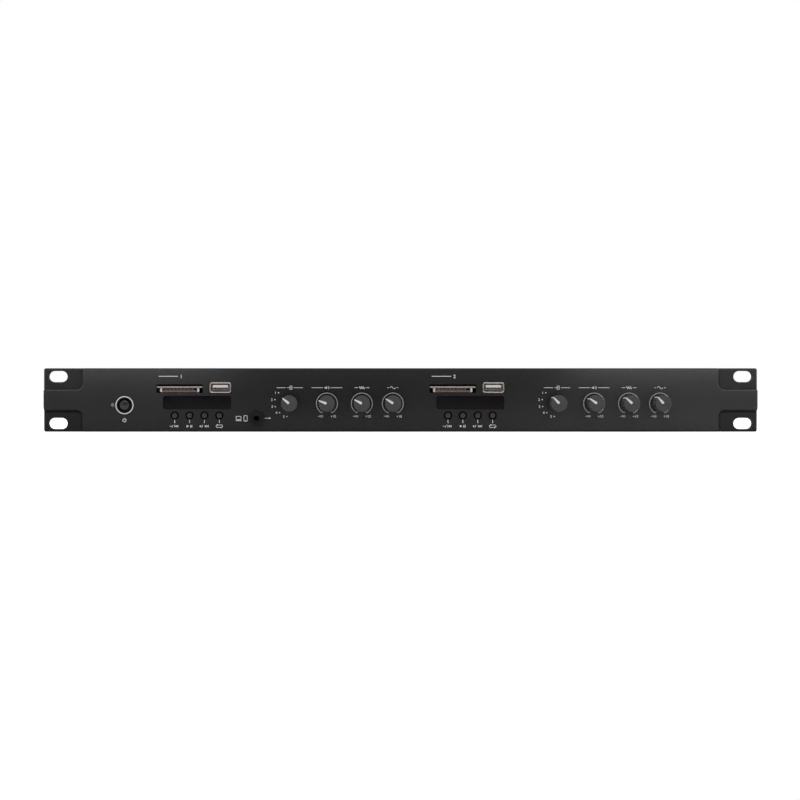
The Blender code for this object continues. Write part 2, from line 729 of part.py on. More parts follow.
def rear_openings():
    """Cutters of the openings in the rear wall."""
    low = REAR_WALL_FRONT - OVERRUN
    high = CHASSIS_DEPTH + OVERRUN
    holes = [prism(circle(XLR_BARREL / 2 + FIT, ROUND_SIDES, share * 2 * CHASSIS_HALF_WIDTH, 0), low, high)
             for share in XLR_SHARES]
    holes.append(prism(rounded(INLET_WIDTH + 2 * FIT, INLET_HEIGHT + 2 * FIT, FIT,
                               INLET_SHARE * 2 * CHASSIS_HALF_WIDTH, 0, steps=1), low, high))
    holes += [prism(circle(PHONO_COLLAR / 2 + FIT, HIDDEN_SIDES, x, z), low, high) for x, z in phono_places()]
    return holes


def both_sides(inner, outer, low, high):
    """Two blocks, left and right, that span x from inner to outer and share their y and z."""
    return [block((min(side * inner, side * outer), *low), (max(side * inner, side * outer), *high))
            for side in (-1, 1)]


def build_chassis(centre):
    """Folded tray: base, front wall, rear wall and lips from one sheet, with rack ears and side flanges."""
    lip_z = TRAY_TOP - SHEET
    path = [(LIP_DEPTH, lip_z), (0, lip_z), (0, BASE_TOP), (REAR_WALL_FRONT, BASE_TOP),
            (REAR_WALL_FRONT, lip_z), (REAR_WALL_FRONT - LIP_DEPTH, lip_z)]
    tray = prism(bent_sheet(path, SHEET), -TRAY_HALF_WIDTH, TRAY_HALF_WIDTH, "X")
    unite(tray, *both_sides(TRAY_HALF_WIDTH - EMBED, PANEL_WIDTH / 2 - EAR_MARGIN,
                            (-SHEET, -CHASSIS_HALF_HEIGHT), (0, CHASSIS_HALF_HEIGHT)))
    unite(tray, *both_sides(TRAY_HALF_WIDTH - SHEET, TRAY_HALF_WIDTH, (FLANGE_SETBACK, BASE_TOP - EMBED),
                            (REAR_WALL_FRONT - FLANGE_SETBACK, FLANGE_HEIGHT - CHASSIS_HALF_HEIGHT)))
    radius = STANDOFF_DIAMETER / 2
    unite(tray, *[prism(circle(radius, HEX_SIDES, x, y), BASE_TOP - EMBED, BOARD_BOTTOM - FIT, "Z")
                  for x, y in standoff_places()])
    unite(tray, *player_standoffs())
    cut(tray, *wall_openings(), *rear_openings())
    place(tray, "chassis_tray", painted_steel(), centre)


def vent_places(count):
    """Middles in depth of a row of vents over the inner boards."""
    middle_y = (BOARD_FRONT + BOARD_BACK) / 2
    return [middle_y + (index - (count - 1) / 2) * VENT_PITCH for index in range(count)]


def build_cover(centre):
    """Cover over the top and both sides, with vents."""
    inside = CHASSIS_HALF_WIDTH - COVER_SHEET
    top = CHASSIS_HALF_HEIGHT - COVER_SHEET
    path = [(inside, -CHASSIS_HALF_HEIGHT), (inside, top), (-inside, top), (-inside, -CHASSIS_HALF_HEIGHT)]
    cover = prism(bent_sheet(path, COVER_SHEET), FIT, CHASSIS_DEPTH)
    reach = CHASSIS_HALF_WIDTH + OVERRUN
    upright = [(a, b) for b, a in slot(VENT_LENGTH, VENT_WIDTH, steps=VENT_STEPS)]
    side_vents = [prism([(y + a, b) for a, b in upright], -reach, reach, "X")
                  for y in vent_places(SIDE_VENT_COUNT)]
    supply_x = sum(supply_span()) / 2
    top_vents = [prism(slot(2 * VENT_LENGTH, VENT_WIDTH, supply_x, y, VENT_STEPS),
                       TRAY_TOP, CHASSIS_HALF_HEIGHT + OVERRUN, "Z") for y in vent_places(TOP_VENT_COUNT)]
    cut(cover, *side_vents)
    cut(cover, *top_vents)
    place(cover, "top_cover", painted_steel(), centre)


# Players


def window_solid():
    """Smoked window with the lip that holds it behind the face."""
    boss = rounded(WINDOW_WIDTH, WINDOW_HEIGHT, WINDOW_CORNER)
    lip = rounded(WINDOW_WIDTH + 2 * WINDOW_LIP, WINDOW_HEIGHT + 2 * WINDOW_LIP, WINDOW_CORNER)
    lip_front = WALL_BACK + FIT
    return stacked([(boss, FACE_Y + WINDOW_RECESS), (boss, lip_front), (lip, lip_front),
                    (lip, lip_front + WINDOW_LIP_THICKNESS)])


def card_socket_solid():
    """Card socket about the middle of its cut-out: a steel top over a body with the card's mouth."""
    front = FACE_Y + CARD_RECESS
    plate_top = CARD_CUT_HEIGHT / 2 - CARD_HEAD_GAP
    plate_bottom = plate_top - CARD_PLATE_THICKNESS
    floor = FIT - CARD_CUT_HEIGHT / 2
    half_plate = CARD_CUT_WIDTH / 2 - FIT
    half_body = CARD_BODY_WIDTH / 2
    back = front + CARD_DEPTH
    outline = [(half_plate, plate_top), (-half_plate, plate_top), (-half_plate, plate_bottom),
               (-half_body, plate_bottom), (-half_body, floor), (half_body, floor),
               (half_body, plate_bottom), (half_plate, plate_bottom)]
    socket = prism(outline, front, back)
    half_mouth = CARD_MOUTH_WIDTH / 2
    return cut(socket, block((-half_mouth, front - OVERRUN, floor + CARD_FLOOR),
                             (half_mouth, front + CARD_MOUTH_DEPTH, plate_bottom)))


def usb_shell_solid():
    """Bent steel shell of a USB socket, with the lips that flare round its mouth."""
    walls = 2 * USB_WALL
    lip = chamfered(USB_LIP_WIDTH, USB_LIP_HEIGHT, USB_LIP_CHAMFER)
    lip_inside = chamfered(USB_LIP_WIDTH - walls, USB_LIP_HEIGHT - walls, USB_LIP_CHAMFER - USB_WALL / 2)
    body = chamfered(USB_WIDTH, USB_HEIGHT, USB_CHAMFER)
    body_inside = chamfered(USB_WIDTH - walls, USB_HEIGHT - walls, USB_CHAMFER / 2)
    neck = FACE_Y + USB_LIP_DEPTH
    back = FACE_Y + USB_DEPTH
    return stacked([(body, back), (body, neck), (lip, FACE_Y), (lip_inside, FACE_Y), (body_inside, neck),
                    (body_inside, back)], closed=True)


def usb_tongue_solid():
    """Insulator of a USB socket: the block that fills the back of the shell and the contact tongue."""
    room_width = USB_WIDTH - 2 * USB_WALL - 2 * FIT
    room_height = USB_HEIGHT - 2 * USB_WALL - 2 * FIT
    back = FACE_Y + USB_DEPTH
    body = prism(chamfered(room_width, room_height, USB_CHAMFER / 2), back - TONGUE_BLOCK_DEPTH, back)
    tongue = prism(rectangle(TONGUE_WIDTH, TONGUE_THICKNESS, 0, TONGUE_RISE), FACE_Y + TONGUE_RECESS,
                   back - TONGUE_BLOCK_DEPTH / 2)
    return unite(body, tongue)


def player_board_solid():
    """Upright board with display block and key switches, and the shelf that carries the two sockets."""
    back = PLAYER_BOARD_Y + BOARD_THICKNESS
    shelf_top = PLAYER_BOARD_TOP - FIT
    shelf_bottom = shelf_top - BOARD_THICKNESS
    shelf_end = PLAYER_BOARD_Y + PLAYER_BOARD_DEPTH
    foot = BASE_TOP + BOARD_CLEARANCE
    profile = [(PLAYER_BOARD_Y, shelf_top), (PLAYER_BOARD_Y, foot), (back, foot), (back, shelf_bottom),
               (shelf_end, shelf_bottom), (shelf_end, shelf_top)]
    board = prism(profile, -PLAYER_HALF_WIDTH, PLAYER_HALF_WIDTH, "X")
    display_front = WALL_BACK + FIT + WINDOW_LIP_THICKNESS + FIT
    keys = [prism(rectangle(KEY_SIZE, KEY_SIZE, offset, BUTTON_Z), KEY_FRONT, PLAYER_BOARD_Y + EMBED)
            for offset in BUTTON_XS]
    display = prism(rectangle(WINDOW_WIDTH - DISPLAY_MARGIN, WINDOW_HEIGHT - DISPLAY_MARGIN, 0, WINDOW_Z),
                    display_front, PLAYER_BOARD_Y + EMBED)
    chip = block((CARD_X - CHIP_SIZE / 2, shelf_end - 2 * CHIP_SIZE, shelf_bottom - CHIP_HEIGHT),
                 (CARD_X + CHIP_SIZE / 2, shelf_end - CHIP_SIZE, shelf_bottom + EMBED))
    return unite(board, *keys, display, chip)


def transport_button_solid():
    """Round push button with the flange that holds it behind the face."""
    crown = circle(BUTTON_DIAMETER / 2 - BUTTON_CROWN)
    cap = circle(BUTTON_DIAMETER / 2)
    flange = circle(BUTTON_FLANGE / 2)
    front = FACE_Y - BUTTON_PROUD
    return stacked([(crown, front), (cap, front + BUTTON_CROWN), (cap, BUTTON_FLANGE_Y),
                    (flange, BUTTON_FLANGE_Y), (flange, BUTTON_FLANGE_Y + BUTTON_FLANGE_THICKNESS)])


def build_players(centre):
    """Both players: window, card socket, USB socket, board and four buttons each."""
    originals = {}
    for index, x in enumerate(PLAYER_XS):
        holder = empty(f"player_{index + 1}", (x, 0, 0), centre)
        pieces = [("display_window", window_solid, smoked_acrylic, (0, 0, WINDOW_Z)),
                  ("card_socket", card_socket_solid, bright_steel, (CARD_X, 0, CARD_Z)),
                  ("usb_shell", usb_shell_solid, bright_steel, (USB_X, 0, USB_Z)),
                  ("usb_tongue", usb_tongue_solid, white_nylon, (USB_X, 0, USB_Z)),
                  ("player_board", player_board_solid, board_laminate, (0, 0, 0))]
        pieces += [(name, transport_button_solid, knob_plastic, (offset, 0, BUTTON_Z))
                   for name, offset in zip(BUTTON_NAMES, BUTTON_XS)]
        place_set(pieces, originals, index, holder)


def place_set(pieces, originals, index, holder):
    """Place one numbered set of pieces; the same solid is built once and its mesh shared."""
    for name, build, material, location, *turn in pieces:
        numbered = f"{name}_{index + 1}"
        if build in originals:
            place_copy(originals[build], numbered, holder, location, *turn)
        else:
            originals[build] = place(build(), numbered, material(), holder, location, *turn)


# Power button, lamp and auxiliary jack


def dome_angles():
    """Angles from a dome's axis at which its rings lie, the last at its rim."""
    return [math.pi / 2 * (step + 1) / FILLET_STEPS for step in range(FILLET_STEPS)]


def build_power(centre):
    """Power button with its domed cap, the push switch behind it, and the lamp at its left."""
    holder = empty("power", (POWER_X, 0, POWER_Z), centre)
    front = FACE_Y - POWER_PROUD
    flange_y = WALL_BACK + FIT
    flange_back = flange_y + POWER_FLANGE_THICKNESS
    cap = POWER_CAP / 2
    levels = [(circle(cap * math.sin(angle), BARREL_SIDES), front + POWER_DOME * (1 - math.cos(angle)))
              for angle in dome_angles()]
    levels += [(circle(radius, BARREL_SIDES), y) for radius, y in
               ((cap, flange_y), (POWER_FLANGE / 2, flange_y), (POWER_FLANGE / 2, flange_back),
                (POWER_STEM / 2, flange_back), (POWER_STEM / 2, FIT + POWER_STEM_ENGAGEMENT))]
    place(stacked(levels), "power_button", knob_plastic(), holder)
    bore = POWER_STEM / 2 + FIT
    bore_end = FIT + POWER_STEM_ENGAGEMENT + POWER_TRAVEL + FIT
    case = rectangle(POWER_SWITCH_WIDTH, POWER_SWITCH_HEIGHT)
    switch_body = prism(case, FIT + EMBED, FIT + POWER_SWITCH_DEPTH)
    cut(switch_body, prism(circle(bore), -OVERRUN, bore_end))
    place(switch_body, "power_switch", black_nylon(), holder)

    lamp = LAMP_DIAMETER / 2
    lamp_front = FACE_Y - LAMP_PROUD
    dome = [(circle(lamp * math.sin(angle)), lamp_front + lamp * (1 - math.cos(angle)))
            for angle in dome_angles()]
    flange = LAMP_FLANGE / 2
    body = [(circle(radius), y) for radius, y in
            ((lamp, flange_y), (flange, flange_y), (flange, flange_y + LAMP_FLANGE_THICKNESS))]
    place(stacked(dome + body), "power_led", lamp_lens(), holder, (-LAMP_OFFSET, 0, 0))


def build_jack(centre):
    """Auxiliary jack with its bushing through the panel, and the nut on the face."""
    holder = empty("auxiliary", (JACK_X, 0, JACK_Z), centre)
    front = FACE_Y - JACK_REACH
    body = prism(rectangle(JACK_WIDTH, JACK_HEIGHT), FIT, FIT + JACK_DEPTH)
    unite(body, prism(circle(JACK_BUSHING / 2), front, FIT + EMBED))
    cut(body, prism(circle(JACK_BORE / 2), front - OVERRUN, FIT + JACK_DEPTH - OVERRUN))
    place(body, "aux_jack", black_nylon(), holder)
    nut_back = FACE_Y - FIT
    nut_front = nut_back - JACK_NUT_THICKNESS
    nut = prism(hexagon(JACK_NUT), nut_front, nut_back)
    cut(nut, prism(circle(JACK_BUSHING / 2 + FIT), nut_front - OVERRUN, nut_back + OVERRUN))
    place(nut, "aux_jack_nut", black_nylon(), holder)


# Knobs, shafts and what they turn


def knob_outline(inset):
    """Fluted outline of a knob, drawn in by an inset: flat crests with a groove between each two."""
    points = []
    crest = KNOB_DIAMETER / 2 - inset
    groove_share = 1 / 2
    steps = ((-FLUTE_CREST_SHARE, crest), (FLUTE_CREST_SHARE, crest), (groove_share, crest - FLUTE_DEPTH))
    for flute in range(FLUTE_COUNT):
        for share, radius in steps:
            angle = math.tau * (flute + share) / FLUTE_COUNT
            points.append((radius * math.sin(angle), radius * math.cos(angle)))
    return points


def flatted(radius, flat, sides=HIDDEN_SIDES):
    """Round outline with one flat at its top."""
    return [(x, min(z, flat)) for x, z in circle(radius, sides)]


def knob_solid():
    """Fluted knob, slightly slimmer at its front, with a bore for the flatted shaft."""
    knob = stacked([(knob_outline(0), KNOB_BACK), (knob_outline(KNOB_DRAFT), KNOB_FRONT + KNOB_CHAMFER),
                    (knob_outline(KNOB_DRAFT + KNOB_CHAMFER), KNOB_FRONT)])
    bore = flatted(SHAFT_DIAMETER / 2 + FIT, SHAFT_FLAT - SHAFT_DIAMETER / 2 + FIT)
    return cut(knob, prism(bore, KNOB_BACK - SHAFT_ENGAGEMENT - FIT, KNOB_BACK + OVERRUN))


def shaft_solid():
    """Round shaft with a flat on the length that the knob grips."""
    bar = circle(SHAFT_DIAMETER / 2, HIDDEN_SIDES)
    flat = flatted(SHAFT_DIAMETER / 2, SHAFT_FLAT - SHAFT_DIAMETER / 2)
    return stacked([(flat, KNOB_BACK - SHAFT_ENGAGEMENT), (flat, KNOB_BACK + FIT), (bar, KNOB_BACK + FIT),
                    (bar, SHAFT_TAIL)])


def rotary_solid(width, height):
    """Case of a rotary part with its bushing through the wall, its nut and the shaft's bore."""
    case = prism(rectangle(width, height), FIT, FIT + ROTARY_DEPTH)
    unite(case, prism(circle(BUSHING_DIAMETER / 2, HIDDEN_SIDES), FACE_Y, FIT + EMBED))
    nut_back = -SHEET - FIT
    unite(case, prism(hexagon(NUT_ACROSS_FLATS), nut_back - NUT_THICKNESS, nut_back))
    bore = circle(SHAFT_DIAMETER / 2 + FIT, HIDDEN_SIDES)
    return cut(case, prism(bore, FACE_Y - OVERRUN, SHAFT_TAIL + FIT))


def pot_solid():
    return rotary_solid(POT_WIDTH, POT_HEIGHT)


def selector_solid():
    return rotary_solid(SELECTOR_WIDTH, SELECTOR_HEIGHT)


def control_board_solid():
    """Board that the rotary parts of one group are soldered to."""
    front = FIT + ROTARY_DEPTH + FIT
    board = prism(rounded(CONTROLS_WIDTH, CONTROL_BOARD_HEIGHT, BOARD_THICKNESS, KNOB_SPAN / 2, 0, steps=1),
                  front, front + BOARD_THICKNESS)
    plug = prism(rectangle(BOARD_PLUG_WIDTH, BOARD_PLUG_HEIGHT, KNOB_SPAN / 2, 0), front + EMBED,
                 front + BOARD_THICKNESS + BOARD_PLUG_DEPTH)
    return unite(board, plug)


def build_controls(centre):
    """Both groups of one selector and three level knobs, each knob on its shaft's axis."""
    originals = {}
    for index, selector_x in enumerate(SELECTOR_XS):
        holder = empty(f"controls_{index + 1}", (selector_x, 0, KNOB_Z), centre)
        pieces = [("control_board", control_board_solid, board_laminate, (0, 0, 0))]
        for name, offset, angle in zip(KNOB_NAMES, KNOB_OFFSETS, POINTER_ANGLES[index]):
            kind, build_case = ("switch", selector_solid) if name == "input_select" else ("pot", pot_solid)
            at = (offset, 0, 0)
            pieces += [(f"{name}_{kind}", build_case, bright_steel, at),
                       (f"{name}_shaft", shaft_solid, bright_steel, at, -angle),
                       (f"{name}_knob", knob_solid, knob_plastic, at, -angle)]
        place_set(pieces, originals, index, holder)


# Inner boards


def board_on_base(span, parts):
    """Board on its standoffs with the parts that stand on it."""
    board = block((span[0], BOARD_FRONT, BOARD_BOTTOM), (span[1], BOARD_BACK, BOARD_TOP))
    return unite(board, *parts)


def upright_part(x, y, width, depth, height):
    """Rectangular part standing on a board."""
    return prism(rectangle(width, depth, x, y), BOARD_TOP - EMBED, BOARD_TOP + height, "Z")


def can(x, y):
    """Upright capacitor can."""
    outline = circle(CAPACITOR_DIAMETER / 2, HIDDEN_SIDES, x, y)
    return prism(outline, BOARD_TOP - EMBED, BOARD_TOP + CAPACITOR_HEIGHT, "Z")


def build_boards(centre):
    """Power supply board with its transformer, and the main board."""
    middle_y = (BOARD_FRONT + BOARD_BACK) / 2
    left, right = supply_span()
    can_left = right - BOARD_PART_MARGIN - CAPACITOR_DIAMETER
    transformer_left = left + BOARD_PART_MARGIN
    width = can_left - TRANSFORMER_GAP - transformer_left
    can_y = (CAPACITOR_DIAMETER + CAPACITOR_GAP) / 2
    parts = [can(can_left + CAPACITOR_DIAMETER / 2, middle_y + side * can_y) for side in (-1, 1)]
    parts.append(upright_part(transformer_left + width / 2, middle_y, width, TRANSFORMER_DEPTH,
                              TRANSFORMER_HEIGHT))
    place(board_on_base((left, right), parts), "power_supply", board_laminate(), centre)

    left, right = main_span()
    width = right - left
    parts = [upright_part(left + share * width, middle_y, LARGE_CHIP_SIZE, LARGE_CHIP_SIZE, CHIP_HEIGHT)
             for share in LARGE_CHIP_SHARES]
    parts += [can(left + share * width, middle_y) for share in CAPACITOR_SHARES]
    parts.append(upright_part(left + HEAT_SINK_SHARE * width, middle_y, HEAT_SINK_WIDTH, HEAT_SINK_DEPTH,
                              HEAT_SINK_HEIGHT))
    place(board_on_base((left, right), parts), "main_board", board_laminate(), centre)


# Rear connectors


def xlr_solid():
    """Male output socket: square flange, barrel with its cavity, and three pins."""
    flange_back = CHASSIS_DEPTH + FIT
    mouth = flange_back + FLANGE_THICKNESS
    barrel_end = REAR_WALL_FRONT - XLR_DEPTH
    cavity_end = mouth - XLR_CAVITY_DEPTH
    flange = rounded(XLR_FLANGE_WIDTH, XLR_FLANGE_HEIGHT, XLR_FLANGE_CORNER, steps=COARSE_STEPS)
    body = prism(flange, flange_back, mouth)
    unite(body, prism(circle(XLR_BARREL / 2, ROUND_SIDES), barrel_end, flange_back + EMBED))
    cut(body, prism(circle(XLR_CAVITY / 2, ROUND_SIDES), cavity_end, mouth + OVERRUN))
    reach = XLR_PIN_CIRCLE / 2
    places = [(reach * math.cos(math.radians(angle)), reach * math.sin(math.radians(angle)))
              for angle in XLR_PIN_ANGLES]
    return unite(body, *[prism(circle(XLR_PIN / 2, PIN_SIDES, x, z), cavity_end - EMBED,
                               cavity_end + XLR_PIN_LENGTH) for x, z in places])


def inlet_solid():
    """Mains inlet: flange, shroud with its keyed cavity, and three flat pins."""
    flange_back = CHASSIS_DEPTH + FIT
    mouth = flange_back + FLANGE_THICKNESS
    cavity_end = mouth - INLET_CAVITY_DEPTH
    flange = rounded(INLET_FLANGE_WIDTH, INLET_FLANGE_HEIGHT, INLET_FLANGE_CORNER, steps=COARSE_STEPS)
    body = prism(flange, flange_back, mouth)
    shroud = rectangle(INLET_WIDTH, INLET_HEIGHT)
    unite(body, prism(shroud, REAR_WALL_FRONT - INLET_DEPTH, flange_back + EMBED))
    right, top = INLET_CAVITY_WIDTH / 2, INLET_CAVITY_HEIGHT / 2
    corner_x, corner_z = right - INLET_CAVITY_CHAMFER, top - INLET_CAVITY_CHAMFER
    keyed = [(right, corner_z), (corner_x, top), (-corner_x, top), (-right, corner_z), (-right, -top),
             (right, -top)]
    cut(body, prism(keyed, cavity_end, mouth + OVERRUN))
    places = [(side * INLET_PIN_SPACING, (1 - 2 * abs(side)) * INLET_PIN_RISE) for side in (-1, 0, 1)]
    return unite(body, *[prism(rectangle(INLET_PIN_WIDTH, INLET_PIN_HEIGHT, x, z), cavity_end - EMBED,
                               cavity_end + INLET_PIN_LENGTH) for x, z in places])


def phono_places():
    """Middles of the four phono sockets, in two pairs."""
    x = PHONO_SHARE * 2 * CHASSIS_HALF_WIDTH
    half = PHONO_PITCH / 2
    return [(x + side_x * half, side_z * half) for side_x in (-1, 1) for side_z in (-1, 1)]


def build_phono_block(centre):
    """Block of four phono sockets whose collars come through the rear wall."""
    span = PHONO_PITCH + PHONO_COLLAR + 2 * PHONO_MARGIN
    end = CHASSIS_DEPTH + PHONO_REACH
    back = REAR_WALL_FRONT - FIT
    outline = chamfered(span, span, PHONO_BLOCK_CORNER, PHONO_SHARE * 2 * CHASSIS_HALF_WIDTH)
    body = prism(outline, back - PHONO_DEPTH, back)
    unite(body, *[prism(circle(PHONO_COLLAR / 2, HIDDEN_SIDES, x, z), back - EMBED, end)
                  for x, z in phono_places()])
    cut(body, *[prism(circle(PHONO_BORE / 2, PIN_SIDES, x, z), end - PHONO_BORE_DEPTH, end + OVERRUN)
                for x, z in phono_places()])
    place(body, "phono_block", black_nylon(), centre)


def build_rear(centre):
    """Everything on the rear wall."""
    width = 2 * CHASSIS_HALF_WIDTH
    first = place(xlr_solid(), XLR_NAMES[0], black_nylon(), centre, (XLR_SHARES[0] * width, 0, 0))
    for name, share in zip(XLR_NAMES[1:], XLR_SHARES[1:]):
        place_copy(first, name, centre, (share * width, 0, 0))
    place(inlet_solid(), "mains_inlet", black_nylon(), centre, (INLET_SHARE * width, 0, 0))
    build_phono_block(centre)


def build():
    """Build the whole unit about the middle of its front panel, on the rack plane."""
    for leftover in list(bpy.data.objects):
        bpy.data.objects.remove(leftover)
    unit_root = empty("dual_rack_media_player", (0, 0, 0))
    centre = empty("panel_centre", (0, RACK_PLANE_Y, PANEL_HEIGHT / 2), unit_root)
    build_front_panel(centre)
    build_chassis(centre)
    build_cover(centre)
    build_players(centre)
    build_power(centre)
    build_jack(centre)
    build_controls(centre)
    build_boards(centre)
    build_rear(centre)


build()
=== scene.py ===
"""Dual rack media player, dressed: the finished surfaces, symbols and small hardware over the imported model.

Metres, X to the right seen from the front, Y to the back, Z up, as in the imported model.
"""

import json
import math

import bmesh
import bpy
from mathutils import Matrix, Vector


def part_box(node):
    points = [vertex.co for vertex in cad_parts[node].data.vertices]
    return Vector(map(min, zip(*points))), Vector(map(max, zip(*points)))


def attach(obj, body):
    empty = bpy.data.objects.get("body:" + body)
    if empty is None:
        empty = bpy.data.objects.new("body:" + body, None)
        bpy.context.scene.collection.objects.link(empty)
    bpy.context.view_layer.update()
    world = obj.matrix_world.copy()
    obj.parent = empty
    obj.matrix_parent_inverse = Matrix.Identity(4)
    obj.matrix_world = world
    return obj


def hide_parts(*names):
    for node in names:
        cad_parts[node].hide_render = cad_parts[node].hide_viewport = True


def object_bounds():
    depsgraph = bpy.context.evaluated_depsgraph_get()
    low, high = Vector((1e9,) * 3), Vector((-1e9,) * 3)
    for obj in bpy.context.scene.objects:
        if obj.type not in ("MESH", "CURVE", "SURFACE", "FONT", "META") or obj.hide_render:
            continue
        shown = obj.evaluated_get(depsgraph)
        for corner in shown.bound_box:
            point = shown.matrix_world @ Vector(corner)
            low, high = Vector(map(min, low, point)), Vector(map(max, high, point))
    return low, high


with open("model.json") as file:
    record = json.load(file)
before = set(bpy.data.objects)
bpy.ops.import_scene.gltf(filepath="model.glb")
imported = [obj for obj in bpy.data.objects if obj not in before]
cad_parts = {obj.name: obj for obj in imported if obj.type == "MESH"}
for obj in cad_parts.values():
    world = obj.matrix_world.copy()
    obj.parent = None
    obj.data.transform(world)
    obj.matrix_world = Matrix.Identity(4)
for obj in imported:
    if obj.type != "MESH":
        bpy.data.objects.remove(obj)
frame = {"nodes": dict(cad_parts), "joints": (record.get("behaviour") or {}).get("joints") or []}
cad_low, cad_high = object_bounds()

# The photograph's view, in real sizes
VIEW_WIDTH = 0.5402             # what the picture's width covers at the panel
VIEW_DISTANCE = 1.25
VIEW_OFFSET = -0.035            # the camera stands left of the panel's middle
VIEW_MIDDLE = -0.0004           # what the middle of the picture shows
SENSOR = 0.036
MM_PER_M = 1000

# Light
DARK_LEVEL = 0.035              # the dark place behind the camera
PALE_LEVEL = 0.72               # the white studio all round
DARK_FROM = 0.65                # how far from straight ahead the dark reaches, as a cosine
FLOOR_COLOUR = 0.70
FLOOR_GLOW = 0.90
FLOOR_MIRRORED = 0.20           # what the floor adds where metal and glass mirror it
FLOOR_SIZE = 8.0
LAMPS = {                       # middle from the panel's face, width and height, brightness
    "side_lamp_left": ((-0.75, -1.20, 0.25), (0.40, 0.60), 0.5),
    "side_lamp_right": ((0.85, -1.15, 0.25), (0.40, 0.60), 0.7),
    "top_lamp": ((0.0, -0.30, 1.30), (1.40, 0.80), 2.2),
    "upper_card_left": ((-0.26, -0.06, 0.038), (0.28, 0.02), 11.5),
    "upper_card_middle": ((0.0, -0.06, 0.038), (0.22, 0.02), 3.0),
    "upper_card_right": ((0.26, -0.06, 0.038), (0.28, 0.02), 14.2),
    "low_strip_left": ((-0.24, -0.06, -0.0165), (0.30, 0.008), 2.4),
    "low_strip_middle": ((0.0, -0.06, -0.0165), (0.18, 0.008), 3.8),
    "low_strip_right": ((0.24, -0.06, -0.0165), (0.30, 0.008), 6.0)}

# Panel
PANEL_CORNER = 0.0014
FACE_STEP = 0.0022
FACE_WALL = 0.0022
EDGE_FILLET = 0.0012
POCKET_LENGTH = 0.0261
BAND_HEIGHT = 0.0148
POCKET_CORNER = 0.0037
SLOT_INSET_X = 0.0097
SLOT_INSET_Z = 0.005625
SLOT_LENGTH = 0.0127
SLOT_HEIGHT = 0.0075
PANEL_RIM = 0.0022
HOLLOW_CORNER = 0.0030
HOLE_EDGE = 0.00020             # small radius round each opening
SLOT_EDGE = 0.00045
OVERRUN = 0.0020
FIT = 0.0003
WINDOW_CORNER = 0.0015
WINDOW_LIP = 0.0007             # hidden lip round the window, on each side
WINDOW_EDGE = 0.00025
CARD_CUT_WIDTH = 0.0312
CARD_CUT_HEIGHT = 0.0057
CARD_CUT_CORNER = 0.0004
CARD_CUT_RISE = 0.0003          # the opening's middle above the socket's middle
USB_GAP = 0.0004
USB_CHAMFER = 0.0018
BUTTON_WELL = 0.0055
POWER_WELL = 0.0092
POWER_WELL_DEPTH = 0.0020
WELL_SHADE_DEPTH = 0.0004       # where the polish of the face ends
NEARLY = 0.99                   # cosine of faces that count as facing straight ahead
KNOB_HOLE = 0.0090

# Knobs
KNOB_DIAMETER = 0.0113
KNOB_DRAFT = 0.0001
KNOB_ROUNDING = 0.0003
KNOB_BACK_EDGE = 0.0002
FLUTE_DEPTH = 0.0004
FLUTE_COUNT = 18
KNOB_BORE = 0.0066
KNOB_BORE_DEPTH = 0.0093
KNOB_DISH = 0.0003
DISH_SHARES = (0.85, 0.5, 0.15)
POINTER_WIDE = 0.00175
POINTER_NARROW = 0.0008
POINTER_RISE = 0.00006
POINTER_DEPTH = 0.0010
CONTROL_EDGE = 0.0002           # on the switches and potentiometers
REST_ANGLES = {1: (51, 70, 63, 57), 2: (44, 55, 48, 42)}   # where the pointers stand, in degrees

# Card sockets
PLATE_THICKNESS = 0.0010
PLATE_DROP = 0.0003             # its top below the socket's top
PLATE_CORNER = 0.00025
MOUTH_WIDTH = 0.0265
MOUTH_SIDE = 0.0013
MOUTH_FLOOR = 0.0003
MOUTH_CORNER = 0.0011
MOUTH_INNER_CORNER = 0.0004
MOUTH_EDGE = 0.0003
CARRIER_FRONT = 0.0009          # the contact carrier behind the mouth's front
CARRIER_SLOPE = 0.0008          # how far it leans back over each half of its height
CARRIER_THICKNESS = 0.0016
CARD_DEPTH = 0.0245
CARD_BACK = 0.0010
CONTACT_PITCH = 0.0025
CONTACT_COUNT = 8
CONTACT_OFFSET = -0.0005
CONTACT_GAP = 0.0010
CONTACT_WIDTH = 0.0006
CONTACT_THICKNESS = 0.0002
WIDE_GAP = (0.0094, 0.0114)     # where the carrier is open beside the last contact

# USB sockets
USB_BODY_WIDTH = 0.0131
USB_BODY_HEIGHT = 0.0057
USB_WALL = 0.0004
USB_BODY_CORNER = 0.0006
USB_LIP_CORNER = 0.0016
USB_LIP_EDGE = 0.0001
USB_NECK = 0.0010               # how far the flared lips run back
USB_TONGUE_RISE = 0.0009
USB_TONGUE_THICKNESS = 0.0017
USB_CONTACTS = (-0.0036, -0.0011, 0.0011, 0.0036)
USB_CONTACT_WIDTH = 0.0010
USB_CONTACT_HEIGHT = 0.0008
USB_CONTACT_START = 0.0016
USB_CONTACT_END = 0.0100
USB_BACK = 0.0045               # the insulator behind the contacts
TONGUE_EDGE = 0.00015
CONTACT_EDGE = 0.0001

# Push buttons
CAP_RADIUS = 0.00180
CAP_CROWN = 0.0003
CROWN_RISE_SHARE = 0.25
CROWN_SHARES = (0.1, 0.4, 0.7)
CROWN_STEPS = 5

# Jack
JACK_BUSHING = 0.0056
JACK_BORE = 0.0035
JACK_LIP = 0.0004
JACK_LIP_ROUNDING = 0.0001
JACK_EDGE = 0.0003
JACK_COLLAR = 0.0090
THREAD_PITCH = 0.0004
THREAD_DEPTH = 0.00015
NUT_CHAMFER = 0.0006
NUT_EDGE = 0.0001
JACK_SETBACK = 3 * FIT          # the case behind the panel

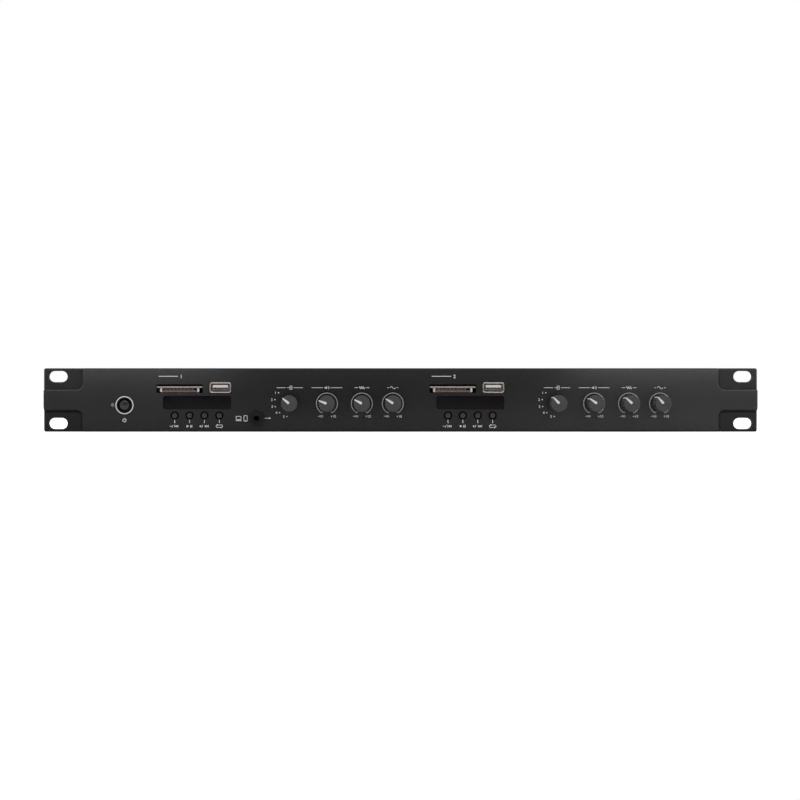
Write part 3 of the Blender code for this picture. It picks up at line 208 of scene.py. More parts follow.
# Power button and lamp
POWER_GUIDE = 0.0063
POWER_CAP = 0.0063
POWER_DOME = 0.0009
POWER_SKIRT = 0.0002
POWER_FLANGE = 0.0080
POWER_FLANGE_THICKNESS = 0.0008
POWER_STEM = 0.0036
LAMP_DIAMETER = 0.0030
DOME_STEPS = 12

# Screws and rear sockets
SCREW_DIAMETER = 0.0055
SCREW_HEIGHT = 0.0011
SMALL_SCREW_DIAMETER = 0.0048
SMALL_SCREW_HEIGHT = 0.0006
HEAD_SHARES = (0.45, 0.75, 0.92, 1.0)
HEAD_DOME_SHARE = 0.92
HEAD_RIM_SHARE = 0.08
CROSS_WIDTH_SHARE = 0.16
CROSS_LENGTH_SHARE = 0.62
CROSS_DEPTH_SHARE = 0.6
SCREW_TURN = 37                 # each screw stands turned by this much more, in degrees
COVER_SCREW_SHARES = (0.10, 0.50, 0.90)
COVER_SCREW_DROP = 0.0060
REAR_SCREW_SHARES = (-0.46, -0.30, -0.04, 0.11, 0.30, 0.46)
REAR_SCREW_DROP = 0.0035
XLR_FLANGE = 0.0015
XLR_CORNER = 0.0030
XLR_FACE_DROP = 0.0004          # the flange's face below the rim round the cavity
XLR_SLEEVE = 0.0220
XLR_CAVITY = 0.0162
XLR_RIM = 0.0186
XLR_CAVITY_DEPTH = 0.0150
XLR_KEY_WIDTH = 0.0022
XLR_KEY_DEPTH = 0.0011
XLR_PIN = 0.0024
XLR_PIN_RADIUS = 0.00457
XLR_PIN_LENGTH = 0.0130
XLR_PIN_ANGLES = (30, 150, 270)
XLR_PIN_NOSE = 0.0007
XLR_NOSE_SHARE = 0.25
XLR_SCREW_INSET = 0.0034
INLET_FLANGE = 0.0015
INLET_CORNER = 0.0020
INLET_CAVITY_WIDTH = 0.0246
INLET_CAVITY_HEIGHT = 0.0168
INLET_CAVITY_CHAMFER = 0.0042
INLET_CAVITY_DEPTH = 0.0170
INLET_PIN_WIDTH = 0.0020
INLET_PIN_HEIGHT = 0.0040
INLET_PIN_LENGTH = 0.0150
INLET_PIN_SPACING = 0.0070
INLET_PIN_RISE = 0.0020
INLET_PIN_EDGE = 0.0004
PHONO_PITCH = 0.0140
PHONO_BLOCK_RISE = 0.0008       # the block's face past the rear wall
PHONO_BLOCK_CORNER = 0.0010
PHONO_COLLAR = 0.0083
PHONO_COLLAR_BORE = 0.0066
PHONO_BORE = 0.0034
PHONO_BORE_DEPTH = 0.0090
PHONO_RING = 0.0124
PHONO_RING_RISE = 0.0010
PHONO_CORE_DROP = 0.0012        # the insulator behind the collar's end
PHONO_EDGE = 0.0003

# Inner boards
BOARD_TOP = 0.0018              # laminate up to here above the solder side
COMPONENT_BLACK = (0.02, 0.02, 0.02)
COMPONENT_GREY = (0.03, 0.03, 0.032)

# Printed symbols
INK = 0.00003                   # thickness of the print
INK_STEP = 0.0000004            # from one mark to the next
HAIRLINE = 0.00036
THIN_LINE = 0.00026
FINE_LINE = 0.00045
DIGIT_HEIGHT_SHARE = 0.72       # of a letter's full size
DIGIT_WEIGHT_SHARE = 0.02
MITRE_LIMIT = 0.5
SMALL_NUMERAL = 0.0017
PLAYER_NUMERAL = 0.0024
PLAYER_NUMERAL_X = -0.0107
PLAYER_NUMERAL_Z = 0.0160
PLAYER_RULE_X = -0.0195
PLAYER_RULE = 0.0130
BUTTON_TICK = 0.0022
BUTTON_TICK_Z = -0.0145
SIGN_Z = -0.0177
SIGN_HEIGHT = 0.0017
SKIP_OFFSET = 0.0013
SKIP_WIDTH_SHARE = 0.62
SKIP_BAR_SHARE = 0.18
MINUS_OFFSET = -0.0028
MINUS_LENGTH = 0.0013
SLASH_START = -0.0019
SLASH_END = -0.0011
PLAY_OFFSET = -0.0012
PLAY_WIDTH = 0.0016
PAUSE_OFFSETS = (0.0006, 0.0015)
PAUSE_WIDTH = 0.0005
LOOP_LENGTH = 0.0044
LOOP_BREAK = 0.0004
LOOP_HEAD = 0.0011
HEADER_Z = 0.0083
HEADER_GAP = 0.0026
BRACKET = (-0.0002, 0.0015, 0.0011)             # left, right and half height
BRACKET_ARROW = (-0.0017, -0.0001)              # start and end of its shaft
BRACKET_HEAD = (0.0004, 0.0009, 0.0012)         # middle, width and height
SPEAKER_XS = (-0.0016, -0.0009, -0.0001)        # back, neck and front
SPEAKER_RISES = (0.0004, 0.0010)
SOUND_RADII = (0.0008, 0.0015)
SOUND_ANGLE = 45
SOUND_LINE_SHARE = 0.8
WAVE_LENGTH = 0.0036
WAVE_RISE = 0.0008
HEADER_RULES = (0.0062, 0.0078, 0.0024, 0.0012)
SCALE_MARK_Z = -0.0110
MINUS_X = -0.0056
SHORT_MINUS = 0.0009
INFINITY_X = -0.0037
INFINITY_REACH = 0.00115
INFINITY_RISE_SHARE = 1.3
PLUS_TEN_X = 0.0043
DOTS = ((0.0105, 46), (0.0103, 75), (0.0099, 102), (0.0092, 132), (0.0089, 168))  # radius, turn left of up
DOT_RADIUS = 0.00042
DOT_NUMERAL_X = -0.0021
POWER_RING = 0.00577
POWER_RING_LINE = 0.00062
STANDBY_Z = -0.0136
STANDBY_RADIUS = 0.0011
STANDBY_BAR = 0.0013
STANDBY_BAR_SHARE = 0.8
STANDBY_ANGLES = (125, 415)
LAPTOP = (-0.0122, 0.0002, 0.0033, 0.0021)      # middle, width and height of its screen
LAPTOP_BASE = (-0.0016, 0.0040)                 # level and length
PHONE = (-0.0075, -0.0001, 0.0022, 0.0038)
PHONE_KEY = (-0.0015, 0.0009)
ARROW_START = 0.0053
ARROW_END = 0.0086
ARROW_HEAD = (0.0010, 0.0014)
SCALE_RADIUS = 0.0071
SCALE_HALF_ANGLE = 153
SCALE_LINE = 0.00050
SCALE_TICK = 0.0010

# How finely round shapes are drawn
CORNER_STEPS = 10
FILLET_STEPS = 8
ROUND_SIDES = 48
SMALL_SIDES = 32
EDGE_STEPS = 3
SMALL_CORNER_STEPS = 4
TINY_CORNER_STEPS = 2
HEX_SIDES = 6
DOT_SIDES = 16
RING_SIDES = 72
FLUTE_POINTS = 12
SOUND_STEPS = 6
WAVE_STEPS = 12
LOOP_STEPS = 12
SCALE_STEPS = 60
STANDBY_STEPS = 24
SMOOTH_ANGLE = 35
NOISE_DETAIL = 3.0
GRAIN_DETAIL = 2.0
NOISE_LOW = 0.35                # what most of a noise lies between
NOISE_HIGH = 0.65
SETTINGS = {"gloss": "Specular IOR Level", "coat": "Coat Weight", "coat_roughness": "Coat Roughness",
            "refraction": "IOR", "clear": "Transmission Weight"}


# Outlines


def arc(centre_a, centre_b, radius, start, end, steps=CORNER_STEPS):
    """Points along an arc between two angles in degrees."""
    turns = [math.radians(start + (end - start) * step / steps) for step in range(steps + 1)]
    return [(centre_a + radius * math.cos(turn), centre_b + radius * math.sin(turn)) for turn in turns]


def circle(radius, a=0.0, b=0.0, sides=ROUND_SIDES):
    """Outline of a round bar."""
    turns = [(index + 0.5) / sides * math.tau for index in range(sides)]
    return [(a + radius * math.cos(turn), b + radius * math.sin(turn)) for turn in turns]


def rounded(width, height, radius, a=0.0, b=0.0, steps=CORNER_STEPS):
    """Outline of a rectangle with rounded corners; one step cuts the corners straight."""
    half_a, half_b = width / 2 - radius, height / 2 - radius
    points = []
    for side_a, side_b, start in ((1, 1, 0), (-1, 1, 90), (-1, -1, 180), (1, -1, 270)):
        points += arc(a + side_a * half_a, b + side_b * half_b, radius, start, start + 90, steps)
    return points


def rectangle(width, height, a=0.0, b=0.0):
    """Outline of a plain rectangle."""
    return [(a + width / 2, b + height / 2), (a - width / 2, b + height / 2),
            (a - width / 2, b - height / 2), (a + width / 2, b - height / 2)]


def slot_outline(length, height, a, b):
    """Outline of a slot with round ends."""
    reach = (length - height) / 2
    return arc(a + reach, b, height / 2, -90, 90) + arc(a - reach, b, height / 2, 90, 270)


# Solids


def thing(name, shape):
    """Object of a finished shape."""
    bmesh.ops.recalc_face_normals(shape, faces=shape.faces)
    mesh = bpy.data.meshes.new(name)
    shape.to_mesh(mesh)
    shape.free()
    piece = bpy.data.objects.new(name, mesh)
    bpy.context.scene.collection.objects.link(piece)
    return piece


def skin(shape, rings, closed=False):
    """Add a body through rings of equal point counts to a shape, capped at both ends or closed on itself."""
    loops = [[shape.verts.new(point) for point in ring] for ring in rings]
    pairs = list(zip(loops, loops[1:]))
    if closed:
        pairs.append((loops[-1], loops[0]))
    else:
        shape.faces.new(loops[0])
        shape.faces.new(loops[-1])
    for near, far in pairs:
        for index in range(len(near)):
            following = (index + 1) % len(near)
            shape.faces.new((near[index], near[following], far[following], far[index]))


def stacked(levels, closed=False):
    """Body through outlines in the XZ plane, each at its own depth y."""
    shape = bmesh.new()
    skin(shape, [[(x, y, z) for x, z in outline] for outline, y in levels], closed)
    return thing("solid", shape)


def prism(outline, low, high):
    """Straight body of one outline from one depth to another."""
    return stacked([(outline, low), (outline, high)])


def block(low, high):
    """Box between two opposite corners."""
    outline = [(high[0], high[2]), (low[0], high[2]), (low[0], low[2]), (high[0], low[2])]
    return prism(outline, low[1], high[1])


def gather(pieces):
    """Several bodies as one object."""
    shape = bmesh.new()
    for piece in pieces:
        piece.data.transform(piece.matrix_basis)
        shape.from_mesh(piece.data)
    pieces[0].matrix_basis = Matrix.Identity(4)
    shape.to_mesh(pieces[0].data)
    shape.free()
    for piece in pieces[1:]:
        bpy.data.objects.remove(piece)
    return pieces[0]


def combine(base, tools, operation):
    """Join bodies to a base or cut them out of it, and keep the result as its mesh."""
    tool = gather(list(tools))
    modifier = base.modifiers.new("combine", "BOOLEAN")
    modifier.operation = operation
    modifier.solver = "EXACT"
    modifier.object = tool
    evaluated = base.evaluated_get(bpy.context.evaluated_depsgraph_get())
    mesh = bpy.data.meshes.new_from_object(evaluated)
    base.modifiers.clear()
    base.data = mesh
    bpy.data.objects.remove(tool)
    return base


def unite(base, *tools):
    """Join bodies to a base."""
    return combine(base, tools, "UNION")


def cut(base, *tools):
    """Cut bodies out of a base."""
    return combine(base, tools, "DIFFERENCE")


def hole(outline_at, mouth, end, edge=HOLE_EDGE):
    """Cutter whose mouth leaves a small radius on the surface that it opens in."""
    way = 1 if end > mouth else -1
    levels = [(outline_at(edge), mouth - way * OVERRUN), (outline_at(edge), mouth)]
    for step in range(1, EDGE_STEPS + 1):
        angle = math.pi / 2 * step / EDGE_STEPS
        levels.append((outline_at(edge * (1 - math.sin(angle))), mouth + way * edge * (1 - math.cos(angle))))
    levels.append((outline_at(0), end))
    return stacked(levels)


def round_hole(diameter, x, z, mouth, end, edge=HOLE_EDGE):
    """Cutter of a round hole."""
    return hole(lambda grow: circle(diameter / 2 + grow, x, z), mouth, end, edge)


def turned(profile, x, z, sides=ROUND_SIDES):
    """Body turned about the Y axis through (x, z), from a profile of (radius, y)."""
    return stacked([(circle(radius, x, z, sides), y) for radius, y in profile])


def soften(piece, width, segments=2, angle=SMOOTH_ANGLE):
    """Round a piece's sharp edges with a bevel."""
    bevel = piece.modifiers.new("soft_edges", "BEVEL")
    bevel.width = width
    bevel.segments = segments
    bevel.limit_method = "ANGLE"
    bevel.angle_limit = math.radians(angle)
    bevel.harden_normals = False
    even_shading(piece)


def even_shading(piece):
    """Shade each point by its largest faces, so that flat faces stay flat."""
    piece.modifiers.new("even_shading", "WEIGHTED_NORMAL").keep_sharp = True


def smooth(piece, angle=SMOOTH_ANGLE):
    """Shade a piece smooth but for its sharp edges."""
    piece.data.shade_smooth()
    piece.data.set_sharp_from_angle(angle=math.radians(angle))


def dress(piece, name, finish, body, slot, *replaced):
    """Name a piece, shade it, give it its material and the body that it rides on."""
    piece.name = name
    piece.data.name = name
    smooth(piece)
    piece.data.materials.clear()
    piece.data.materials.append(finish())
    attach(piece, body)
    if replaced:
        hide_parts(*replaced)
    return piece


def paint(piece, finish, chosen):
    """Give the chosen faces of a piece a material of their own."""
    piece.data.materials.append(finish())
    for face in piece.data.polygons:
        if chosen(face):
            face.material_index = len(piece.data.materials) - 1


# Materials


def shader_of(name, colour, roughness, metallic=0.0):
    """New Principled material; its tree and its shader."""
    made = bpy.data.materials.new(name)
    made.use_nodes = True
    tree = made.node_tree
    shader = tree.nodes["Principled BSDF"]
    shader.inputs["Base Color"].default_value = (*colour, 1.0)
    shader.inputs["Roughness"].default_value = roughness
    shader.inputs["Metallic"].default_value = metallic
    return made, tree, shader


def noise(tree, scale, detail=NOISE_DETAIL, stretch=(1, 1, 1)):
    """Noise in the piece's own coordinates, its scale in cells a metre."""
    where = tree.nodes.new("ShaderNodeTexCoord")
    mapping = tree.nodes.new("ShaderNodeMapping")
    mapping.inputs["Scale"].default_value = stretch
    texture = tree.nodes.new("ShaderNodeTexNoise")
    texture.inputs["Scale"].default_value = scale
    texture.inputs["Detail"].default_value = detail
    tree.links.new(where.outputs["Object"], mapping.inputs["Vector"])
    tree.links.new(mapping.outputs["Vector"], texture.inputs["Vector"])
    return texture.outputs["Fac"]


def spread(tree, source, low, high):
    """A value between low and high that follows a noise."""
    ramp = tree.nodes.new("ShaderNodeMapRange")
    ramp.inputs["From Min"].default_value = NOISE_LOW
    ramp.inputs["From Max"].default_value = NOISE_HIGH
    ramp.inputs["To Min"].default_value = low
    ramp.inputs["To Max"].default_value = high
    tree.links.new(source, ramp.inputs["Value"])
    return ramp.outputs["Result"]


def grain(tree, shader, scale, depth, stretch=(1, 1, 1)):
    """Fine surface texture as a bump of a real depth."""
    bump = tree.nodes.new("ShaderNodeBump")
    bump.inputs["Distance"].default_value = depth
    tree.links.new(noise(tree, scale, GRAIN_DETAIL, stretch), bump.inputs["Height"])
    tree.links.new(bump.outputs["Normal"], shader.inputs["Normal"])


def vary_colour(tree, shader, source, first, second):
    """Base colour between two colours that follows a noise."""
    mix = tree.nodes.new("ShaderNodeMix")
    mix.data_type = "RGBA"
    mix.inputs["A"].default_value = (*first, 1.0)
    mix.inputs["B"].default_value = (*second, 1.0)
    tree.links.new(spread(tree, source, 0, 1), mix.inputs["Factor"])
    tree.links.new(mix.outputs["Result"], shader.inputs["Base Color"])


def varied(name, colour, roughness, metallic=0.0, tint=None, polish=None, texture=None, **settings):
    """Material whose colour, roughness and surface each follow a noise where one is given.

    The tint is a scale and two colours, the polish a scale and two roughnesses, and the texture a scale, a
    depth and, where its marks run one way, a stretch.
    """
    made, tree, shader = shader_of(name, colour, roughness, metallic)
    for setting, value in settings.items():
        shader.inputs[SETTINGS[setting]].default_value = value
    if tint:
        vary_colour(tree, shader, noise(tree, tint[0]), *tint[1:])
    if polish:
        tree.links.new(spread(tree, noise(tree, polish[0]), *polish[1:]), shader.inputs["Roughness"])
    if texture:
        grain(tree, shader, *texture)
    return made


def once(build):
    """Make a material the first time that it is asked for."""
    made = []

    def give_made():
        if not made:
            made.append(build())
        return made[0]
    return give_made


@once
def panel_plastic():
    """Satin black moulded plastic with a fine even grain."""
    return varied("panel_plastic", (0.0028, 0.0028, 0.0030), 0.40, gloss=0.20,
                  tint=(60, (0.0026, 0.0026, 0.0028), (0.0030, 0.0030, 0.0032)),
                  polish=(25, 0.385, 0.415), texture=(4200, 0.000012))


@once
def pocket_plastic():
    """The panel's plastic where it is left rough, in the recessed corners."""
    return varied("pocket_plastic", (0.0042, 0.0042, 0.0044), 0.60, gloss=0.10,
                  tint=(80, (0.0039, 0.0039, 0.0041), (0.0045, 0.0045, 0.0047)), texture=(3800, 0.000012))


@once
def well_plastic():
    """The panel's plastic inside its openings, without polish, and the cavities of the output sockets; on the
    push buttons' sides and flanges it is painted shade, about ten times darker than the buttons' own plastic.
    """
    return varied("well_plastic", (0.0030, 0.0030, 0.0032), 0.60, gloss=0.10,
                  tint=(300, (0.0027, 0.0027, 0.0029), (0.0033, 0.0033, 0.0035)), texture=(3800, 0.000012))


@once
def knob_plastic():
    """Dark grey moulded plastic, slightly rougher than the panel."""
    return varied("knob_plastic", (0.055, 0.055, 0.056), 0.48,
                  tint=(300, (0.052, 0.052, 0.053), (0.058, 0.058, 0.059)), texture=(5200, 0.00001))


@once
def button_plastic():
    """Black plastic of the push buttons."""
    return varied("button_plastic", (0.034, 0.034, 0.035), 0.40,
                  tint=(300, (0.032, 0.032, 0.033), (0.036, 0.036, 0.037)),
                  polish=(500, 0.32, 0.40), texture=(6000, 0.000006))


@once
def gloss_plastic():
    """Half-polished black plastic of the power button."""
    return varied("gloss_plastic", (0.018, 0.018, 0.019), 0.26, coat=0.2, coat_roughness=0.15,
                  polish=(400, 0.23, 0.30))


@once
def smoked_acrylic():
    """Smoked window with a faint purple cast."""
    return varied("smoked_acrylic", (0.0048, 0.0031, 0.0048), 0.09, gloss=0.25, refraction=1.49,
                  tint=(45, (0.0045, 0.0029, 0.0045), (0.0051, 0.0033, 0.0051)), polish=(120, 0.07, 0.12))


@once
def bright_steel():
    """Plated steel with fine lengthwise drawing marks."""
    return varied("bright_steel", (0.60, 0.55, 0.52), 0.30, 1.0,
                  tint=(500, (0.57, 0.52, 0.49), (0.63, 0.58, 0.55)),
                  polish=(900, 0.24, 0.36), texture=(900, 0.000006, (1, 12, 12)))


@once
def gold_contact():
    """Gold flash on a spring contact."""
    return varied("gold_contact", (0.62, 0.42, 0.26), 0.30, 1.0, polish=(1500, 0.25, 0.38))


@once
def dark_contact():
    """Near-black colour on the USB contacts as painted shade, for the shade under the tongue, in place of
    their plating.
    """
    return varied("dark_contact", (0.030, 0.022, 0.018), 0.50,
                  tint=(1500, (0.026, 0.019, 0.015), (0.034, 0.025, 0.021)))


@once
def grey_nylon():
    """Grey insulator behind the USB contacts."""
    return varied("grey_nylon", (0.40, 0.36, 0.36), 0.50,
                  tint=(400, (0.38, 0.34, 0.34), (0.42, 0.38, 0.38)))


@once
def white_nylon():
    """White insulator."""
    return varied("white_nylon", (0.90, 0.87, 0.85), 0.42,
                  tint=(300, (0.88, 0.85, 0.83), (0.92, 0.89, 0.87)), texture=(4000, 0.000006))


@once
def brown_nylon():
    """Warm insulator inside the card sockets."""
    return varied("brown_nylon", (0.20, 0.155, 0.138), 0.50,
                  tint=(300, (0.19, 0.147, 0.131), (0.21, 0.163, 0.145)), texture=(4000, 0.000006))


@once
def black_nylon():
    """Black moulded nylon of sockets and nuts."""
    return varied("black_nylon", (0.0055, 0.0055, 0.0058), 0.46, gloss=0.25,
                  tint=(200, (0.0050, 0.0050, 0.0053), (0.0060, 0.0060, 0.0063)), texture=(3500, 0.00001))


@once
def painted_steel():
    """Sheet steel under black powder paint with a fine orange-peel texture."""
    return varied("painted_steel", (0.013, 0.013, 0.014), 0.52,
                  tint=(40, (0.012, 0.012, 0.013), (0.016, 0.016, 0.017)),
                  polish=(900, 0.50, 0.54), texture=(2400, 0.00003))


@once
def dark_nickel():
    """Dark satin plating of the output sockets' housings."""
    return varied("dark_nickel", (0.17, 0.17, 0.175), 0.36, 1.0,
                  tint=(600, (0.16, 0.16, 0.165), (0.18, 0.18, 0.185)), polish=(1200, 0.32, 0.40))


@once
def black_screw():
    """Blackened steel of the screws."""
    return varied("black_screw", (0.11, 0.11, 0.115), 0.36, 1.0, polish=(1500, 0.30, 0.46))


@once
def clear_lens():
    """Smoked clear epoxy of the lamp."""
    return varied("clear_lens", (0.34, 0.35, 0.37), 0.16, clear=0.55, refraction=1.52,
                  polish=(900, 0.14, 0.20))


@once
def ink_white():
    """Screen-printed white ink."""
    return varied("ink_white", (0.84, 0.84, 0.86), 0.55, tint=(900, (0.82, 0.82, 0.84), (0.86, 0.86, 0.88)))


@once
def ink_grey():
    """Thinner grey ink of the rings and scales."""
    return varied("ink_grey", (0.50, 0.50, 0.52), 0.55, tint=(900, (0.48, 0.48, 0.50), (0.52, 0.52, 0.54)))


@once
def pointer_white():
    """White paint filled into the knobs' pointers."""
    return varied("pointer_white", (0.80, 0.80, 0.79), 0.40,
                  tint=(700, (0.77, 0.77, 0.76), (0.83, 0.83, 0.82)))


@once
def red_nylon():
    """Red ring of the right-hand phono sockets."""
    return varied("red_nylon", (0.42, 0.025, 0.020), 0.40,
                  tint=(400, (0.40, 0.022, 0.018), (0.45, 0.030, 0.024)))


def board_finish(name, board_top, above):
    """Green laminate up to a height, and dark components above it."""
    made, tree, shader = shader_of(name, (0.020, 0.120, 0.050), 0.42)
    where = tree.nodes.new("ShaderNodeTexCoord")
    parts = tree.nodes.new("ShaderNodeSeparateXYZ")
    compare = tree.nodes.new("ShaderNodeMath")
    compare.operation = "GREATER_THAN"
    compare.inputs[1].default_value = board_top
    mix = tree.nodes.new("ShaderNodeMix")
    mix.data_type = "RGBA"
    mix.inputs["A"].default_value = (0.016, 0.105, 0.043, 1.0)
    mix.inputs["B"].default_value = (*above, 1.0)
    tree.links.new(where.outputs["Object"], parts.inputs["Vector"])
    tree.links.new(parts.outputs["Z"], compare.inputs[0])
    tree.links.new(compare.outputs["Value"], mix.inputs["Factor"])
    tree.links.new(mix.outputs["Result"], shader.inputs["Base Color"])
    tree.links.new(spread(tree, noise(tree, 250), 0.34, 0.50), shader.inputs["Roughness"])
    grain(tree, shader, 800, 0.00002)
    return made


# Camera, light and floor


def add_camera(face_y, middle_z):
    """The photograph's view: straight at the panel, from a little left of its middle."""
    data = bpy.data.cameras.new("camera")
    data.sensor_width = SENSOR * MM_PER_M
    data.lens = SENSOR * MM_PER_M * VIEW_DISTANCE / VIEW_WIDTH
    data.shift_x = (VIEW_MIDDLE - VIEW_OFFSET) / VIEW_WIDTH
    camera = bpy.data.objects.new("camera", data)
    camera.location = (VIEW_OFFSET, face_y - VIEW_DISTANCE, middle_z)
    camera.rotation_euler = (math.radians(90), 0, 0)
    bpy.context.scene.collection.objects.link(camera)
    bpy.context.scene.camera = camera


def softbox(name, location, target, width, height, brightness):
    """Soft rectangular lamp of an even brightness, aimed at a point."""
    data = bpy.data.lights.new(name, "AREA")
    data.shape = "RECTANGLE"
    data.size = width
    data.size_y = height
    data.energy = brightness * math.pi * width * height
    lamp = bpy.data.objects.new(name, data)
    lamp.location = location
    lamp.rotation_euler = (Vector(target) - Vector(location)).to_track_quat("-Z", "Y").to_euler()
    lamp.visible_camera = False
    bpy.context.scene.collection.objects.link(lamp)
    return lamp


def add_world():
    """White for the camera, and for other rays a bright studio round a dark place behind the camera."""
    world = bpy.data.worlds.new("studio")
    world.use_nodes = True
    bpy.context.scene.world = world
    tree = world.node_tree
    background = tree.nodes["Background"]
    background.inputs["Color"].default_value = (1, 1, 1, 1)
    where = tree.nodes.new("ShaderNodeTexCoord")
    parts = tree.nodes.new("ShaderNodeSeparateXYZ")
    level = tree.nodes.new("ShaderNodeMapRange")
    level.interpolation_type = "SMOOTHSTEP"
    level.inputs["From Min"].default_value = -1.0
    level.inputs["From Max"].default_value = -DARK_FROM
    level.inputs["To Min"].default_value = DARK_LEVEL
    level.inputs["To Max"].default_value = PALE_LEVEL
    path = tree.nodes.new("ShaderNodeLightPath")
    brightest = tree.nodes.new("ShaderNodeMath")
    brightest.operation = "MAXIMUM"
    tree.links.new(where.outputs["Generated"], parts.inputs["Vector"])
    tree.links.new(parts.outputs["Y"], level.inputs["Value"])
    tree.links.new(level.outputs["Result"], brightest.inputs[0])
    tree.links.new(path.outputs["Is Camera Ray"], brightest.inputs[1])
    tree.links.new(brightest.outputs["Value"], background.inputs["Strength"])


def weighted(tree, source, weight, base=None):
    """A value times a weight, added to a base."""
    node = tree.nodes.new("ShaderNodeMath")
    node.operation = "MULTIPLY_ADD"
    node.inputs[1].default_value = weight
    node.inputs[2].default_value = 0
    tree.links.new(source, node.inputs[0])
    if base:
        tree.links.new(base, node.inputs[2])
    return node.outputs["Value"]


def add_floor(height):
    """Pale floor that glows for the camera and in reflections, and keeps the object's shadow."""
    shape = bmesh.new()
    half = FLOOR_SIZE / 2
    corners = [(half, half), (-half, half), (-half, -half), (half, -half)]
    shape.faces.new([shape.verts.new((x, y, height)) for x, y in corners])
    floor = thing("floor", shape)
    made = bpy.data.materials.new("floor")
    made.use_nodes = True
    tree = made.node_tree
    tree.nodes.clear()
    diffuse = tree.nodes.new("ShaderNodeBsdfDiffuse")
    diffuse.inputs["Color"].default_value = (FLOOR_COLOUR, FLOOR_COLOUR, FLOOR_COLOUR, 1)
    glow = tree.nodes.new("ShaderNodeEmission")
    path = tree.nodes.new("ShaderNodeLightPath")
    glossy = weighted(tree, path.outputs["Is Glossy Ray"], FLOOR_MIRRORED)
    through = weighted(tree, path.outputs["Is Transmission Ray"], FLOOR_MIRRORED, glossy)
    strength = weighted(tree, path.outputs["Is Camera Ray"], FLOOR_GLOW, through)
    tree.links.new(strength, glow.inputs["Strength"])
    both = tree.nodes.new("ShaderNodeAddShader")
    output = tree.nodes.new("ShaderNodeOutputMaterial")
    tree.links.new(diffuse.outputs["BSDF"], both.inputs[0])
    tree.links.new(glow.outputs["Emission"], both.inputs[1])
    tree.links.new(both.outputs["Shader"], output.inputs["Surface"])
    floor.data.materials.append(made)


def light_scene(centre):
    """Lamps at both sides and above, and bright cards close over and under the panel's edges.

    The cards light only the pieces in the collection that comes back, as if flags kept them off the rest.
    """
    front = bpy.data.collections.new("lit_by_cards")
    for name, (place, size, brightness) in LAMPS.items():
        near = "card" in name or "strip" in name
        level = Vector((place[0], 0, 0)) if near else Vector()
        lamp = softbox(name, centre + Vector(place), centre + level, *size, brightness)
        if near:
            lamp.light_linking.receiver_collection = front
    return front


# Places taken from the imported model

panel_low, panel_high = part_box("front_panel")
MIDDLE_X = (panel_low.x + panel_high.x) / 2
MIDDLE_Z = (panel_low.z + panel_high.z) / 2
PANEL_WIDTH = panel_high.x - panel_low.x
PANEL_HEIGHT = panel_high.z - panel_low.z
FACE_Y = panel_low.y
PANEL_BACK = panel_high.y
FLOOR_Y = FACE_Y + FACE_STEP
WALL_BACK = FACE_Y + FACE_WALL
SIDES = (-1, 1)
PLAYERS = (1, 2)
BUTTONS = ("previous", "play", "next", "mode")
KNOBS = ("input_select", "master_volume", "treble", "bass")


def middle(node):
    """Middle of a node seen from the front, as x and z."""
    low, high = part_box(node)
    return (low.x + high.x) / 2, (low.z + high.z) / 2


def knob_axis(name, number):
    """Where a knob's axis lies, as x and z."""
    joint = next(j for j in frame["joints"] if j["child"] == f"{name}_{number}")
    return joint["pos_m"][0], joint["pos_m"][2]


# Front panel


def raised_outline(inset):
    """The raised centre and the band that runs out to both ends, drawn in by an inset."""
    half_width = PANEL_WIDTH / 2 - inset
    half_height = PANEL_HEIGHT / 2 - inset
    band = BAND_HEIGHT / 2 - inset
    centre = PANEL_WIDTH / 2 - POCKET_LENGTH - inset
    outer = PANEL_CORNER - inset
    inner = POCKET_CORNER + inset
    quarter = (arc(half_width - outer, band - outer, outer, 0, 90)
               + arc(centre + inner, band + inner, inner, 270, 180)
               + arc(centre - outer, half_height - outer, outer, 0, 90))
    mirrored = quarter[::-1]
    whole = (quarter + [(-x, z) for x, z in mirrored] + [(-x, -z) for x, z in quarter]
             + [(x, -z) for x, z in mirrored])
    return [(MIDDLE_X + x, MIDDLE_Z + z) for x, z in whole]


def slab_outline(inset):
    """The whole panel's outline, drawn in by an inset."""
    return rounded(PANEL_WIDTH - 2 * inset, PANEL_HEIGHT - 2 * inset, PANEL_CORNER - inset,
                   MIDDLE_X, MIDDLE_Z)


def filleted(outline_at, back, front):
    """Body whose front edge is rounded by the fillet."""
    levels = [(outline_at(0), back)]
    for step in range(FILLET_STEPS + 1):
        angle = math.pi / 2 * step / FILLET_STEPS
        levels.append((outline_at(EDGE_FILLET * (1 - math.cos(angle))),
                       front + EDGE_FILLET * (1 - math.sin(angle))))
    return stacked(levels)


def rack_slots():
    """Cutters of the four rack slots."""
    cutters = []
    for side_x in SIDES:
        for side_z in SIDES:
            x = MIDDLE_X + side_x * (PANEL_WIDTH / 2 - SLOT_INSET_X)
            z = MIDDLE_Z + side_z * (PANEL_HEIGHT / 2 - SLOT_INSET_Z)
            cutters.append(hole(
                lambda grow: slot_outline(SLOT_LENGTH + 2 * grow, SLOT_HEIGHT + 2 * grow, x, z),
                FLOOR_Y, PANEL_BACK + OVERRUN, SLOT_EDGE))
    return cutters


def rounded_hole(width, height, corner, x, z, edge=HOLE_EDGE, steps=CORNER_STEPS):
    """Cutter of an opening with rounded corners, through the panel."""
    return hole(lambda grow: rounded(width + 2 * grow, height + 2 * grow, corner + grow, x, z, steps),
                FACE_Y, PANEL_BACK + OVERRUN, edge)


def extent(node):
    """Width and height of a node seen from the front."""
    low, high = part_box(node)
    return high.x - low.x, high.z - low.z


